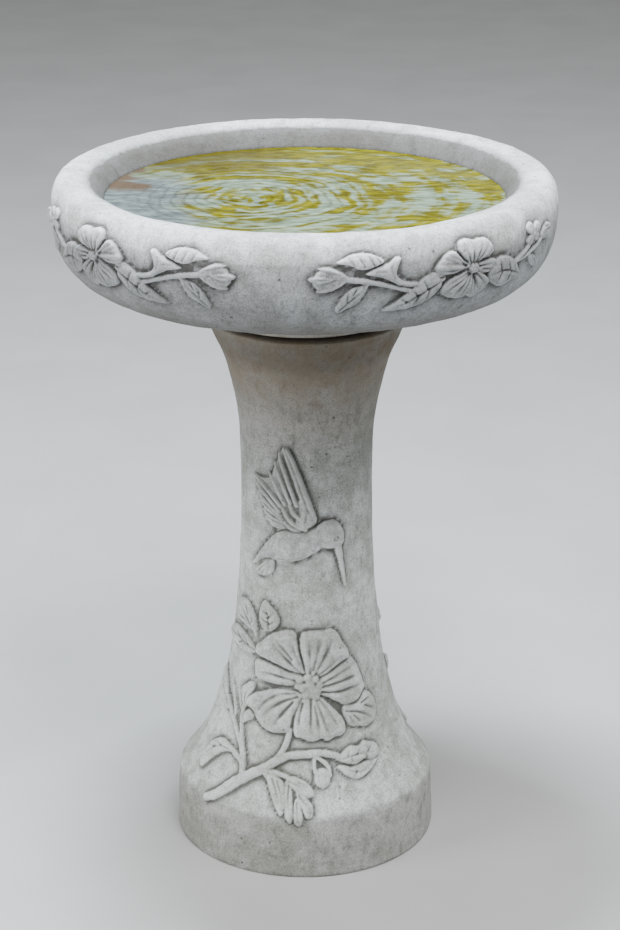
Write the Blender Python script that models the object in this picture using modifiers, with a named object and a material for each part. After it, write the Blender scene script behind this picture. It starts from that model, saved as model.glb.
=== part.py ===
"""Bird bath: two cast-stone pieces and the three rubber pads between them.

The bowl is one casting with a rolled rim, a dished basin, a foot ring and a
locating spigot.  It sits on three pads on the head of a hollow, waisted
pedestal, whose socket takes the spigot.  Flower sprays stand proud of the
bowl's side, and a humming bird over a large flower is raised on the front and
the back of the pedestal.  Both reliefs are cast in one with their stones.

Metres, +Z up.  The origin is on the ground, on the common axis, and -Y is
the front.  The bowl turns about that axis on the pads and lifts off upwards.
"""

import math

import bmesh
import bpy

# Driving dimensions -------------------------------------------------------
BOWL_DIAMETER = 0.457
TOTAL_HEIGHT = 0.655
BASE_DIAMETER = 0.252
HEAD_TOP = 0.5225           # flat top of the pedestal
PAD_GAP = 0.0003            # free gap above and below a pad
PAD_THICKNESS = 0.0024
PAD_RADIUS = 0.012
PAD_CIRCLE = 0.070          # radius of the circle that the pads stand on
PAD_COUNT = 3

FOOT_RADIUS = 0.088         # foot ring under the bowl
FOOT_BOTTOM = HEAD_TOP + PAD_THICKNESS + 2 * PAD_GAP
FOOT_TOP = 0.5385
SPIGOT_RADIUS = 0.045
SPIGOT_LENGTH = 0.016
SOCKET_RADIUS = 0.048
SOCKET_DEPTH = 0.022

BELLY_HEIGHT = 0.628        # height at which the bowl is widest
CREST_RADIUS = 0.2116       # top of the rolled rim
BELLY_DROP = 0.074          # from the widest point down to the flat underside
BELLY_INSET = 0.0888        # from the widest point in to the flat underside
DISH_LIP_HEIGHT = 0.634     # where the basin's wall begins, at the water line
DISH_RADIUS = 0.181
DISH_DEPTH = 0.059

BOWL_STEPS = 48
PEDESTAL_STEPS = 36

# The waisted side of the pedestal, from the head down to the ground.
PEDESTAL_SIDE = (
    (0.0920, HEAD_TOP),
    (0.0755, 0.4790),
    (0.0652, 0.4330),
    (0.0618, 0.3500),
    (0.0642, 0.2750),
    (0.0712, 0.2000),
    (0.0845, 0.1380),
    (0.0985, 0.0975),
    (0.1175, 0.0685),
    (0.1235, 0.0520),
)
BASE_CORNER_HEIGHT = 0.004

# The hollow core, from the socket's floor down to its mouth.
CORE_SIDE = (
    (0.0340, HEAD_TOP - SOCKET_DEPTH),
    (0.0340, 0.2800),
    (0.0420, 0.1400),
    (0.0920, 0.0000),
)

# Relief on the pedestal, the same on its front and back.  Each row is the
# centre along the surface (to the right of the motif's centre line) and its
# height, the length, the width, the slope in degrees and the rise.
BIRD = (
    (-0.008, 0.315, 0.062, 0.027, 18, 0.0085),      # body
    (0.022, 0.327, 0.027, 0.025, 0, 0.0085),        # head
    (0.0315, 0.294, 0.042, 0.007, -74, 0.0050),     # beak
    (-0.009, 0.375, 0.084, 0.021, 109, 0.0045),     # raised wing
    (-0.029, 0.354, 0.056, 0.026, 136, 0.0040),     # lower feathers
    (-0.045, 0.298, 0.036, 0.013, 42, 0.0045),      # tail
    (-0.041, 0.289, 0.026, 0.014, 15, 0.0035),      # tail fan
)
FLOWER = (
    (-0.026, 0.208, 0.046, 0.030, 140, 0.0060),
    (0.014, 0.209, 0.044, 0.036, 75, 0.0060),
    (0.038, 0.179, 0.044, 0.032, 5, 0.0060),
    (0.011, 0.146, 0.040, 0.036, -80, 0.0065),
    (-0.037, 0.156, 0.054, 0.026, 20, 0.0060),
    (-0.033, 0.187, 0.038, 0.014, 175, 0.0045),
    (0.003, 0.176, 0.020, 0.020, 0, 0.0060),        # centre
)
FOLIAGE = (
    (0.060, 0.149, 0.048, 0.020, -25, 0.0040),      # leaf behind the flower
    (-0.037, 0.240, 0.030, 0.019, 100, 0.0040),     # bud above it
    (-0.064, 0.233, 0.042, 0.022, 135, 0.0040),     # two leaves at the left
    (-0.077, 0.207, 0.048, 0.015, 175, 0.0035),
    (-0.062, 0.160, 0.034, 0.019, 60, 0.0045),      # left bud
    (-0.098, 0.093, 0.058, 0.014, 22, 0.0040),      # long leaf
    (0.054, 0.107, 0.042, 0.015, -5, 0.0045),       # ruffled leaf
    (-0.024, 0.078, 0.034, 0.016, -68, 0.0040),     # hanging flower
    (-0.004, 0.076, 0.032, 0.018, -60, 0.0040),
)
PEDESTAL_STEMS = (
    ((-0.108, 0.062), (-0.068, 0.083), (-0.033, 0.104), (0.000, 0.1145), (0.036, 0.107)),
    ((-0.066, 0.086), (-0.062, 0.104), (-0.067, 0.121), (-0.095, 0.138)),
)
PEDESTAL_MOTIFS = 2
PEDESTAL_STEM_RADIUS = 0.0032

# Relief on the bowl.  Places run from the line about which sprays mirror.
SPRAY = (
    (0.0435, 0.620, 0.030, 0.018, 8, 0.0050),       # end bud
    (0.0725, 0.635, 0.042, 0.011, 2, 0.0040),       # upper leaf
    (0.0895, 0.628, 0.026, 0.010, 30, 0.0050),      # trumpet flower
    (0.0655, 0.604, 0.036, 0.013, 40, 0.0030),      # lower leaf
    (0.1215, 0.607, 0.046, 0.024, 5, 0.0045),       # leaves behind the flower
    (0.1785, 0.632, 0.036, 0.017, 0, 0.0050),       # petals
    (0.1535, 0.626, 0.028, 0.015, -20, 0.0050),
    (0.1575, 0.604, 0.030, 0.019, 35, 0.0050),
    (0.1805, 0.601, 0.026, 0.017, -60, 0.0050),
    (0.2165, 0.608, 0.044, 0.021, -5, 0.0040),      # leaf past the flower
    (0.2575, 0.630, 0.022, 0.017, 0, 0.0040),       # small flower
    (0.2855, 0.627, 0.024, 0.013, 0, 0.0035),       # last bud
)
BOWL_STEMS = (
    ((0.052, 0.622), (0.072, 0.620), (0.100, 0.611), (0.122, 0.606)),
    ((0.226, 0.612), (0.241, 0.617), (0.255, 0.625)),
)
BOWL_STEM_RADIUS = 0.0020
SPRAY_AXIS = -6.7           # degrees: the first line that two sprays mirror about

STONE = (0.46, 0.46, 0.43, 1.0)
STONE_BASE = (0.42, 0.42, 0.385, 1.0)
RUBBER = (0.030, 0.030, 0.032, 1.0)


# Curves ---------------------------------------------------------------------
def smooth_line(points, steps=3):
    """Points on a Catmull-Rom curve through the given ones, ends included."""
    padded = [points[0], *points, points[-1]]
    line = []
    for before, start, end, after in zip(padded, padded[1:], padded[2:], padded[3:]):
        for step in range(steps):
            t = step / steps
            line.append(tuple(
                0.5 * (2 * b + (c - a) * t + (2 * a - 5 * b + 4 * c - d) * t ** 2
                       + (3 * b - a - 3 * c + d) * t ** 3)
                for a, b, c, d in zip(before, start, end, after)
            ))
    line.append(points[-1])
    return line


def quarter_superellipse(centre, reach, exponent, start, stop, steps):
    """Points of a quarter superellipse: 0 degrees points outwards, 90 up.

    A negative vertical reach makes the quarter hang below its centre."""
    points = []
    for step in range(steps + 1):
        angle = math.radians(start + (stop - start) * step / steps)
        points.append((
            centre[0] + reach[0] * max(math.cos(angle), 0.0) ** (2 / exponent),
            centre[1] + reach[1] * max(math.sin(angle), 0.0) ** (2 / exponent),
        ))
    return points


def bowl_side():
    """The bowl's outside, from the crest of the rim down to the foot ring."""
    rim_centre = (CREST_RADIUS, BELLY_HEIGHT)
    rim_reach = (BOWL_DIAMETER / 2 - CREST_RADIUS, TOTAL_HEIGHT - BELLY_HEIGHT)
    belly_centre = (BOWL_DIAMETER / 2 - BELLY_INSET, BELLY_HEIGHT)
    belly_reach = (BELLY_INSET, -BELLY_DROP)
    rim = quarter_superellipse(rim_centre, rim_reach, 2.3, 90, 0, 4)
    belly = quarter_superellipse(belly_centre, belly_reach, 2.4, 0, 90, 6)
    return rim + belly[1:] + [(0.116, 0.5475), (0.094, 0.5410), (FOOT_RADIUS, FOOT_TOP)]


def bowl_outline():
    """Half section of the bowl, from the middle of the basin over the rim and
    down to the middle of the spigot."""
    floor = DISH_LIP_HEIGHT - DISH_DEPTH
    dish_centre = (0.0, DISH_LIP_HEIGHT)
    dish = quarter_superellipse(dish_centre, (DISH_RADIUS, -DISH_DEPTH), 2.6, 78, 0, 6)
    lip = [(0.1855, 0.6476), (0.1960, 0.6533)]
    foot = [
        (FOOT_RADIUS, FOOT_BOTTOM),
        (SPIGOT_RADIUS, FOOT_BOTTOM),
        (SPIGOT_RADIUS, FOOT_BOTTOM - SPIGOT_LENGTH),
        (0.0, FOOT_BOTTOM - SPIGOT_LENGTH),
    ]
    return [(0.0, floor)] + dish + lip + bowl_side() + foot


def pedestal_side():
    """The pedestal's outside, from the head down to the ground."""
    base = BASE_DIAMETER / 2
    plinth = [(base, BASE_CORNER_HEIGHT), (base - BASE_CORNER_HEIGHT / 4, 0.0)]
    return smooth_line(PEDESTAL_SIDE, 2) + plinth


def pedestal_outline():
    """Closed half section of the pedestal, round its hollow core."""
    socket = [
        (SOCKET_RADIUS, HEAD_TOP - SOCKET_DEPTH),
        (SOCKET_RADIUS, HEAD_TOP),
    ]
    return pedestal_side() + list(reversed(CORE_SIDE)) + socket


def radius_at(side, height):
    """Radius of an outside line at a height, between its points."""
    for (upper_r, upper_z), (lower_r, lower_z) in zip(side, side[1:]):
        if lower_z <= height <= upper_z and upper_z > lower_z:
            share = (height - lower_z) / (upper_z - lower_z)
            return lower_r + share * (upper_r - lower_r)
    raise ValueError(f"no side at height {height}")


def wrap(side, along, height, rise, turn, hand):
    """World place of a point that lies `along` a turned surface at a height.

    `along` is measured round the surface from the motif's own line, which
    stands `turn` degrees to the right of the front."""
    radius = radius_at(side, height)
    angle = math.radians(turn) + hand * along / radius
    reach = radius + rise
    return (reach * math.sin(angle), -reach * math.cos(angle), height)


# Blender objects --------------------------------------------------------------
def clear_scene():
    """Remove every object that the file came with."""
    for leftover in list(bpy.data.objects):
        bpy.data.objects.remove(leftover, do_unlink=True)


def new_collection(name):
    """A collection linked to the scene."""
    collection = bpy.data.collections.new(name)
    bpy.context.scene.collection.children.link(collection)
    return collection


def finish_material(name, colour, roughness):
    """A Principled material of one plain finish."""
    material = bpy.data.materials.new(name)
    material.use_nodes = True
    shader = material.node_tree.nodes["Principled BSDF"]
    shader.inputs["Base Color"].default_value = colour
    shader.inputs["Roughness"].default_value = roughness
    shader.inputs["Metallic"].default_value = 0.0
    return material


def turned_object(name, outline, closed, steps, collection):
    """A body turned about Z from a half section at +X, by a Screw modifier."""
    mesh = bpy.data.meshes.new(name)
    count = len(outline)
    edges = [(i, i + 1) for i in range(count - 1)]
    if closed:
        edges.append((count - 1, 0))
    mesh.from_pydata([(r, 0.0, z) for r, z in outline], edges, [])
    body = bpy.data.objects.new(name, mesh)
    collection.objects.link(body)
    screw = body.modifiers.new("turning", "SCREW")
    screw.axis = "Z"
    screw.angle = 2 * math.pi
    screw.steps = steps
    screw.render_steps = steps
    screw.use_merge_vertices = True
    screw.merge_threshold = 0.00001
    screw.use_smooth_shade = True
    return body


def as_guide(shape, collection):
    """Put a shape among the guides, which only lend their form to a stone."""
    collection.objects.link(shape)
    shape.hide_render = True
    shape.display_type = "WIRE"


def add_lobe(name, side, row, turn, hand, collection):
    """A petal, leaf or bird's part: a low ball bent onto a turned surface."""
    along, height, length, width, slope, rise = row
    mesh = bpy.data.meshes.new(name)
    ball = bmesh.new()
    bmesh.ops.create_uvsphere(ball, u_segments=8, v_segments=3, radius=1.0)
    cosine = math.cos(math.radians(slope))
    sine = math.sin(math.radians(slope))
    for vertex in ball.verts:
        lengthwise = vertex.co.x * length / 2
        sideways = vertex.co.y * width / 2
        vertex.co = wrap(
            side,
            along + lengthwise * cosine - sideways * sine,
            height + lengthwise * sine + sideways * cosine,
            vertex.co.z * rise, turn, hand,
        )
    bmesh.ops.recalc_face_normals(ball, faces=ball.faces)
    ball.to_mesh(mesh)
    ball.free()
    as_guide(bpy.data.objects.new(name, mesh), collection)


def add_stem(name, side, route, radius, turn, hand, collection):
    """A round stem along a route on a turned surface, as a closed mesh."""
    points = [wrap(side, s, z, 0.0, turn, hand) for s, z in smooth_line(route, 1)]
    curve = bpy.data.curves.new(name, "CURVE")
    curve.dimensions = "3D"
    curve.bevel_depth = radius
    curve.bevel_resolution = 0
    curve.use_fill_caps = True
    spline = curve.splines.new("POLY")
    spline.points.add(len(points) - 1)
    for point, place in zip(spline.points, points):
        point.co = (*place, 1.0)
    tube = bpy.data.objects.new(name + "_curve", curve)
    bpy.context.scene.collection.objects.link(tube)
    graph = bpy.context.evaluated_depsgraph_get()
    mesh = bpy.data.meshes.new_from_object(tube.evaluated_get(graph))
    bpy.data.objects.remove(tube, do_unlink=True)
    solid = bmesh.new()
    solid.from_mesh(mesh)
    bmesh.ops.remove_doubles(solid, verts=solid.verts, dist=0.00001)
    bmesh.ops.recalc_face_normals(solid, faces=solid.faces)
    solid.to_mesh(mesh)
    solid.free()
    as_guide(bpy.data.objects.new(name, mesh), collection)


def raise_relief(stone, collection):
    """Join every guide of a collection to a stone, as one casting."""
    union = stone.modifiers.new("relief", "BOOLEAN")
    union.operation = "UNION"
    union.solver = "EXACT"
    union.operand_type = "COLLECTION"
    union.collection = collection


# The pieces -------------------------------------------------------------------
def build_pedestal(parts, material):
    """The pedestal, with the same bird and flower on its front and its back."""
    pedestal = turned_object("pedestal", pedestal_outline(), True, PEDESTAL_STEPS, parts)
    pedestal.data.materials.append(material)
    guides = new_collection("pedestal_relief")
    side = pedestal_side()
    for motif in range(PEDESTAL_MOTIFS):
        turn = motif * 360 / PEDESTAL_MOTIFS
        for index, row in enumerate(BIRD + FLOWER + FOLIAGE):
            add_lobe(f"pedestal_lobe_{motif}_{index}", side, row, turn, 1, guides)
        for index, route in enumerate(PEDESTAL_STEMS):
            name = f"pedestal_stem_{motif}_{index}"
            add_stem(name, side, route, PEDESTAL_STEM_RADIUS, turn, 1, guides)
    raise_relief(pedestal, guides)
    return pedestal


def build_bowl(parts, material, axis):
    """The bowl, with two pairs of mirrored flower sprays round its side."""
    bowl = turned_object("bowl", bowl_outline(), False, BOWL_STEPS, parts)
    bowl.data.materials.append(material)
    guides = new_collection("bowl_relief")
    side = bowl_side()
    for turn in (SPRAY_AXIS, SPRAY_AXIS + 180):
        for hand in (1, -1):
            tag = f"{round(turn) % 360}_{'right' if hand > 0 else 'left'}"
            for index, row in enumerate(SPRAY):
                add_lobe(f"bowl_lobe_{tag}_{index}", side, row, turn, hand, guides)
            for index, route in enumerate(BOWL_STEMS):
                name = f"bowl_stem_{tag}_{index}"
                add_stem(name, side, route, BOWL_STEM_RADIUS, turn, hand, guides)
    raise_relief(bowl, guides)
    bowl.parent = axis
    return bowl


def build_seat_pads(parts, material, axis):
    """Three rubber pads that the bowl's foot ring rests on."""
    middle = HEAD_TOP + PAD_GAP + PAD_THICKNESS / 2
    for index in range(PAD_COUNT):
        angle = 2 * math.pi * index / PAD_COUNT + math.pi / 2
        place = (PAD_CIRCLE * math.cos(angle), PAD_CIRCLE * math.sin(angle), middle)
        name = f"seat_pad_{index + 1}"
        mesh = bpy.data.meshes.new(name)
        disc = bmesh.new()
        bmesh.ops.create_cone(
            disc, cap_ends=True, segments=32,
            radius1=PAD_RADIUS, radius2=PAD_RADIUS, depth=PAD_THICKNESS,
        )
        disc.to_mesh(mesh)
        disc.free()
        mesh.materials.append(material)
        pad = bpy.data.objects.new(name, mesh)
        parts.objects.link(pad)
        pad.location = place
        pad.parent = axis


def build_bird_bath():
    """Make every piece in the collection that is named for the object."""
    clear_scene()
    parts = new_collection("bird_bath")
    axis = bpy.data.objects.new("turning_axis", None)
    parts.objects.link(axis)
    build_pedestal(parts, finish_material("pedestal_stone", STONE_BASE, 0.85))
    build_bowl(parts, finish_material("bowl_stone", STONE, 0.8), axis)
    build_seat_pads(parts, finish_material("pad_rubber", RUBBER, 0.7), axis)
    bpy.context.view_layer.update()


build_bird_bath()
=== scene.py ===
import math

import bpy
import numpy as np
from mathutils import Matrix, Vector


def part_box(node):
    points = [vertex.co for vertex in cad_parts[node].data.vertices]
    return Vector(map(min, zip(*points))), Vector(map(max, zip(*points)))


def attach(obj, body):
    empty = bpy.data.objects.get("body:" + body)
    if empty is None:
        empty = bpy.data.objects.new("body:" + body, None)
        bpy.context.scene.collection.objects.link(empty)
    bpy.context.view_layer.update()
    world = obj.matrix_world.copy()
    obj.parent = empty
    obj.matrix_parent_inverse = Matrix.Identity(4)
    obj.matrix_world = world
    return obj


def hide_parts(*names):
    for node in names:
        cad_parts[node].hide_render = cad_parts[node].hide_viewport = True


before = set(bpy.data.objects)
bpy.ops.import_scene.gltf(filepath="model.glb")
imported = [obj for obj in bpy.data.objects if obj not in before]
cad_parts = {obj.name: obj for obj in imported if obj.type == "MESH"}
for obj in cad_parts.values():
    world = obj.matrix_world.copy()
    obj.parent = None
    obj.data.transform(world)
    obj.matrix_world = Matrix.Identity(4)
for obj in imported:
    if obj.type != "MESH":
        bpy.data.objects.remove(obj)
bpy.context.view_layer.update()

# --- Pedestal -----------------------------------------------------------------
# One wet-cast stone: flared head, narrow waist, rounded shoulder and an almost
# straight base, hollow inside.  The bowl's foot ring rests on its head.
MM = 0.001
HEAD_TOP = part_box("pedestal")[1][2]
PEDESTAL_COLUMNS = 264
SOCKET_RADIUS = 0.048
SOCKET_DEPTH = 0.022
# Radius and height of the side, from the head down to the ground.
PEDESTAL_SIDE = (
    (0.0920, HEAD_TOP - 0.0015), (0.0872, 0.5080), (0.0755, 0.4790), (0.0652, 0.4330),
    (0.0623, 0.3920), (0.0618, 0.3450), (0.0642, 0.2750), (0.0684, 0.2250),
    (0.0748, 0.1760), (0.0845, 0.1380), (0.0935, 0.1090), (0.1050, 0.0860),
    (0.1182, 0.0680), (0.1218, 0.0628), (0.1232, 0.0560), (0.1244, 0.0420), (0.1252, 0.0220),
    (0.1258, 0.0040),
)
PEDESTAL_CORE = (
    (0.0930, 0.0000), (0.0420, 0.1400), (0.0340, 0.2800), (0.0340, HEAD_TOP - SOCKET_DEPTH),
)


def smooth_path(points, per_span, closed=False):
    """Catmull-Rom curve through the points, per_span steps in each span: at t,
    half of 2b + (c-a)t + (2a-5b+4c-d)t^2 + (3b-a-3c+d)t^3 for neighbours a, b, c, d."""
    p = np.asarray(points, float)
    if closed:
        q = np.concatenate([p[-1:], p, p[:2]])
    else:
        q = np.concatenate([2 * p[:1] - p[1:2], p, 2 * p[-1:] - p[-2:-1]])
    a, b, c, d = q[:-3, None], q[1:-2, None], q[2:-1, None], q[3:, None]
    t = (np.arange(per_span) / per_span)[None, :, None]
    line = 0.5 * (2 * b + (c - a) * t + (2 * a - 5 * b + 4 * c - d) * t**2
                  + (3 * b - a - 3 * c + d) * t**3)
    line = line.reshape(-1, p.shape[1])
    return np.concatenate([line, p[:1] if closed else p[-1:]])


def spaced(points, gap):
    """The same line with a point about every `gap`, corners kept."""
    p = np.asarray(points, float)
    rows = []
    for start, end in zip(p[:-1], p[1:]):
        count = max(1, int(round(np.hypot(*(end - start)) / gap)))
        rows.append(start + (end - start) * (np.arange(count) / count)[:, None])
    return np.concatenate(rows + [p[-1:]])


def lumps(points, size, seed):
    """Smooth noise from -1 to 1: random values on a cubic lattice `size` apart,
    blended with the weight 3f^2 - 2f^3 between the corners of each cell."""
    table = np.random.default_rng(seed).uniform(-1, 1, (32, 32, 32))
    q = points / size
    cell = np.floor(q).astype(int)
    f = q - cell
    f = f * f * (3 - 2 * f)
    total = np.zeros(points.shape[:-1])
    for corner in np.ndindex(2, 2, 2):
        weight = np.prod(np.where(np.array(corner) == 1, f, 1 - f), axis=-1)
        x, y, z = np.moveaxis((cell + corner) % 32, -1, 0)
        total += weight * table[x, y, z]
    return total


def casting_wobble(points):
    """Unevenness of a hand-finished casting: broad, middle and fine lumps."""
    return (0.00050 * lumps(points, 0.045, 3) + 0.00034 * lumps(points, 0.013, 5)
            + 0.00018 * lumps(points, 0.005, 7))


def ease(x):
    """0 below 0, 1 above 1, and 3x^2 - 2x^3 between."""
    x = np.clip(x, 0, 1)
    return x * x * (3 - 2 * x)


def leaned(points):
    """The pedestal as cast: its column stands 1.8 mm to the right of its base."""
    shift = 0.0018 * ease((points[..., 2] - 0.05) / 0.20)
    return points + np.stack([shift, 0 * shift, 0 * shift], axis=-1)


def make_mesh(name, points, faces, values=None):
    """A smooth-shaded mesh object from an array of points and arrays of faces."""
    mesh = bpy.data.meshes.new(name)
    mesh.vertices.add(len(points))
    mesh.vertices.foreach_set("co", np.ascontiguousarray(points, np.float32).ravel())
    sizes = np.concatenate([np.full(len(f), f.shape[1]) for f in faces])
    corners = np.concatenate([f.ravel() for f in faces])
    mesh.loops.add(len(corners))
    mesh.loops.foreach_set("vertex_index", corners.astype(np.int32))
    mesh.polygons.add(len(sizes))
    starts = np.concatenate([[0], np.cumsum(sizes)[:-1]])
    mesh.polygons.foreach_set("loop_start", starts.astype(np.int32))
    mesh.polygons.foreach_set("use_smooth", np.ones(len(sizes), bool))
    for key, value in (values or {}).items():
        layer = mesh.attributes.new(key, "FLOAT", "POINT")
        layer.data.foreach_set("value", np.ascontiguousarray(value, np.float32).ravel())
    mesh.update(calc_edges=True)
    mesh.validate()
    piece = bpy.data.objects.new(name, mesh)
    bpy.context.scene.collection.objects.link(piece)
    return piece


def turned_points(outline, columns):
    """Rows of points round Z: each outline point (r, z) at every azimuth, where
    azimuth 0 is the front (-Y) and grows to the right."""
    azimuth = 2 * math.pi * np.arange(columns) / columns
    r, z = outline[:, 0, None], outline[:, 1, None]
    return np.stack([r * np.sin(azimuth), -r * np.cos(azimuth), z + 0 * azimuth], axis=-1)


def ring_quads(rows, columns, closed):
    """Quads between neighbouring rows of a turned grid that runs down its outside."""
    row = np.arange(rows if closed else rows - 1)[:, None]
    col = np.arange(columns)[None, :]
    below, right = (row + 1) % rows, (col + 1) % columns
    quads = np.stack([below * columns + col, below * columns + right,
                      row * columns + right, row * columns + col], axis=-1)
    return quads.reshape(-1, 4)


def outline_normals(outline, closed):
    """Outward direction (r, z) at each point of an outline that runs down its
    outside: the chord between its neighbours, turned a quarter to the left."""
    if closed:
        chord = np.roll(outline, -1, axis=0) - np.roll(outline, 1, axis=0)
    else:
        chord = np.gradient(outline, axis=0)
    normal = np.stack([-chord[:, 1], chord[:, 0]], axis=-1)
    return normal / np.maximum(np.linalg.norm(normal, axis=1, keepdims=True), 1e-9)


def wobbled(points, outline, closed, amount):
    """Turned points moved along their outward direction by the casting's wobble."""
    normal = outline_normals(outline, closed)
    reach = np.hypot(points[..., 0], points[..., 1])
    flat = np.divide(points[..., :2], reach[..., None], where=reach[..., None] > 1e-9,
                     out=np.zeros_like(points[..., :2]))
    shift = amount[:, None] * casting_wobble(points)
    return points + np.concatenate([
        flat * (normal[:, None, 0] * shift)[..., None],
        (normal[:, None, 1] * shift)[..., None],
    ], axis=-1)


class Carving:
    """A relief drawn on the unrolled side of a stone, in millimetres: s runs to
    the right along the surface, z is the height.  `rise` is how far each place
    stands out of the plain side; where nothing is carved it is SUNK."""

    SUNK = -0.9

    def __init__(self, left, right, low, high, step):
        self.step = step
        self.s = np.arange(left, right + step, step)
        self.z = np.arange(low, high + step, step)
        self.rise = np.full((len(self.z), len(self.s)), self.SUNK)

    def window(self, points, margin):
        """Slices of the grid that hold the points, and the grid's places there."""
        low = np.searchsorted(self.s, points[:, 0].min() - margin)
        high = np.searchsorted(self.s, points[:, 0].max() + margin)
        bottom = np.searchsorted(self.z, points[:, 1].min() - margin)
        top = np.searchsorted(self.z, points[:, 1].max() + margin)
        part = (slice(bottom, top), slice(low, high))
        return part, *np.meshgrid(self.s[part[1]], self.z[part[0]])

    def put(self, part, height, melt=0.0):
        """Keep the higher of the old and the new form, with a fillet if melted."""
        old = self.rise[part]
        new = np.maximum(old, height)
        if melt:
            near = np.maximum(melt - np.abs(old - height), 0) / melt
            new = new + near**2 * melt / 4 * ((old > self.SUNK) & (height > self.SUNK))
        self.rise[part] = new

    def lobe(self, outline, rise, edge=2.5, swell=7.0, sag=0.0, root=None, reach=40.0, low=0.55,
             grooves=(), cut=(1.7, 1.3), melt=0.0):
        """A petal, leaf or body.  Its height is `rise` times a quarter-round of
        radius `edge` inside the outline and a slower swelling over `swell`, less
        `sag` past the edge, scaled from `low` at the root to 1 at `reach` from it.
        Each groove path runs from the rim to the root; its bell-shaped cut is
        cut[0] wide and cut[1] deep, wider at the rim and deeper at the root."""
        ring = smooth_path(outline, 5, closed=True)
        part, s, z = self.window(ring, 2.0)
        depth = path_distance(ring, s, z)[0]
        depth = np.where(is_inside(ring, s, z), depth, -depth)
        hand_cut = np.stack([s, z, np.full_like(s, rise)], axis=-1)
        depth = depth + 0.35 * lumps(hand_cut, 3.1, 17)
        share = np.clip(depth / edge, 0, 1)
        height = rise * np.sqrt(1 - (1 - share) ** 2) * (0.62 + 0.38 * ease(depth / swell))
        height *= 1 + 0.13 * lumps(hand_cut, 8.0, 19)
        height -= sag * ease((depth - edge) / (1.6 * edge))
        if root is not None:
            height *= low + (1 - low) * ease(np.hypot(s - root[0], z - root[1]) / reach)
        for groove in grooves:
            gap, along = path_distance(smooth_path(groove, 4), s, z)
            width = cut[0] * (1.25 - 0.55 * along)
            height -= cut[1] * (0.40 + 0.60 * ease(along / 0.6)) * share * np.exp(-((gap / width) ** 2))
        self.put(part, np.where(depth > 0, np.maximum(height, 0.15), self.SUNK), melt)

    def strand(self, path, widths, rise, melt=0.0):
        """A stem, feather or beak: a half-round ridge along a path, `rise` high,
        whose half width runs through `widths` from its start to its end."""
        line = smooth_path(path, 5)
        part, s, z = self.window(line, max(widths) + 1)
        gap, along = path_distance(line, s, z)
        hand_cut = np.stack([s, z, np.full_like(s, rise)], axis=-1)
        width = np.interp(along, np.linspace(0, 1, len(widths)), widths)
        width = width * (1 + 0.12 * lumps(hand_cut, 5.0, 23))
        height = rise * np.sqrt(np.clip(1 - (gap / width) ** 2, 0, 1))
        height *= (width / max(widths)) ** 0.5 * (1 + 0.10 * lumps(hand_cut, 7.0, 29))
        self.put(part, np.where(gap < width, height, self.SUNK), melt)

    def bead(self, centre, radius, rise, melt=0.0):
        """A low round knob."""
        part, s, z = self.window(np.array([centre], float), radius + 1)
        gap = np.hypot(s - centre[0], z - centre[1]) / radius
        self.put(part, np.where(gap < 1, rise * np.sqrt(np.clip(1 - gap**2, 0, 1)), self.SUNK), melt)

    def finish(self, softness, reach):
        """Soften the carving as a mould does, and work out where it darkens: in hollows, below the blurred
        surface, and to about `reach` from its foot, partly as dark wash and partly as painted shade; and
        where it stands proud, to be lightened as painted highlight and rubbed wash."""
        self.rise = blurred(self.rise, softness / self.step)
        top = np.maximum(self.rise, 0)
        wide = blurred(top, reach / self.step)
        fine = blurred(top, 1.0 / self.step)
        # Darkening in hollows and round the foot: partly dark wash, partly painted shade.
        self.hollow = np.clip((wide - top) / 1.15, 0, 1) * 0.95 + np.clip((fine - top) / 0.45, 0, 1) * 0.65
        # Where the carving stands proud: lightened partly as rubbed-off wash, partly as painted highlight.
        self.proud = np.clip((top - fine) / 0.5, 0, 1)

    def sample(self, values, s, z):
        """Values of a map at places on the side, blended between grid points,
        and 0 outside the carving."""
        i = (z - self.z[0]) / self.step
        j = (s - self.s[0]) / self.step
        within = (i >= 0) & (j >= 0) & (i < len(self.z) - 1.01) & (j < len(self.s) - 1.01)
        i, j = np.where(within, i, 0), np.where(within, j, 0)
        i0, j0 = i.astype(int), j.astype(int)
        fi, fj = i - i0, j - j0
        blend = ((1 - fi) * (1 - fj) * values[i0, j0] + (1 - fi) * fj * values[i0, j0 + 1]
                 + fi * (1 - fj) * values[i0 + 1, j0] + fi * fj * values[i0 + 1, j0 + 1])
        return np.where(within, blend, 0)


def path_distance(path, s, z):
    """Distance from every place to the nearest point of a path of straight
    pieces, and that point's share of the way along the path."""
    start, step = path[:-1], path[1:] - path[:-1]
    ds = s[..., None] - start[:, 0]
    dz = z[..., None] - start[:, 1]
    square = (step**2).sum(1) + 1e-12
    t = np.clip((ds * step[:, 0] + dz * step[:, 1]) / square, 0, 1)
    gap = np.hypot(ds - t * step[:, 0], dz - t * step[:, 1])
    best = gap.argmin(-1)[..., None]
    nearest = np.take_along_axis(gap, best, -1)[..., 0]
    along = (best + np.take_along_axis(t, best, -1))[..., 0] / len(step)
    return nearest, along


def is_inside(ring, s, z):
    """True where a line going right from the place crosses the ring an odd
    number of times."""
    (s0, z0), (s1, z1) = ring[:-1].T, ring[1:].T
    spans = (z0 > z[..., None]) != (z1 > z[..., None])
    rise = np.where(np.abs(z1 - z0) < 1e-9, 1e-9, z1 - z0)
    crossing = s0 + (z[..., None] - z0) * (s1 - s0) / rise
    return (spans & (s[..., None] < crossing)).sum(-1) % 2 == 1


def blurred(values, sigma):
    """Gaussian blur: the sum of shifted copies weighted by exp(-k^2 / 2 sigma^2)."""
    reach = max(1, int(3 * sigma))
    taps = np.arange(-reach, reach + 1)
    weights = np.exp(-(taps**2) / (2 * sigma**2))
    weights /= weights.sum()
    for axis in (0, 1):
        pad = [(0, 0), (0, 0)]
        pad[axis] = (reach, reach)
        wide = np.pad(values, pad, mode="edge")
        length = values.shape[axis]
        values = sum(w * np.take(wide, np.arange(k, k + length), axis)
                     for k, w in enumerate(weights))
    return values


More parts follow.
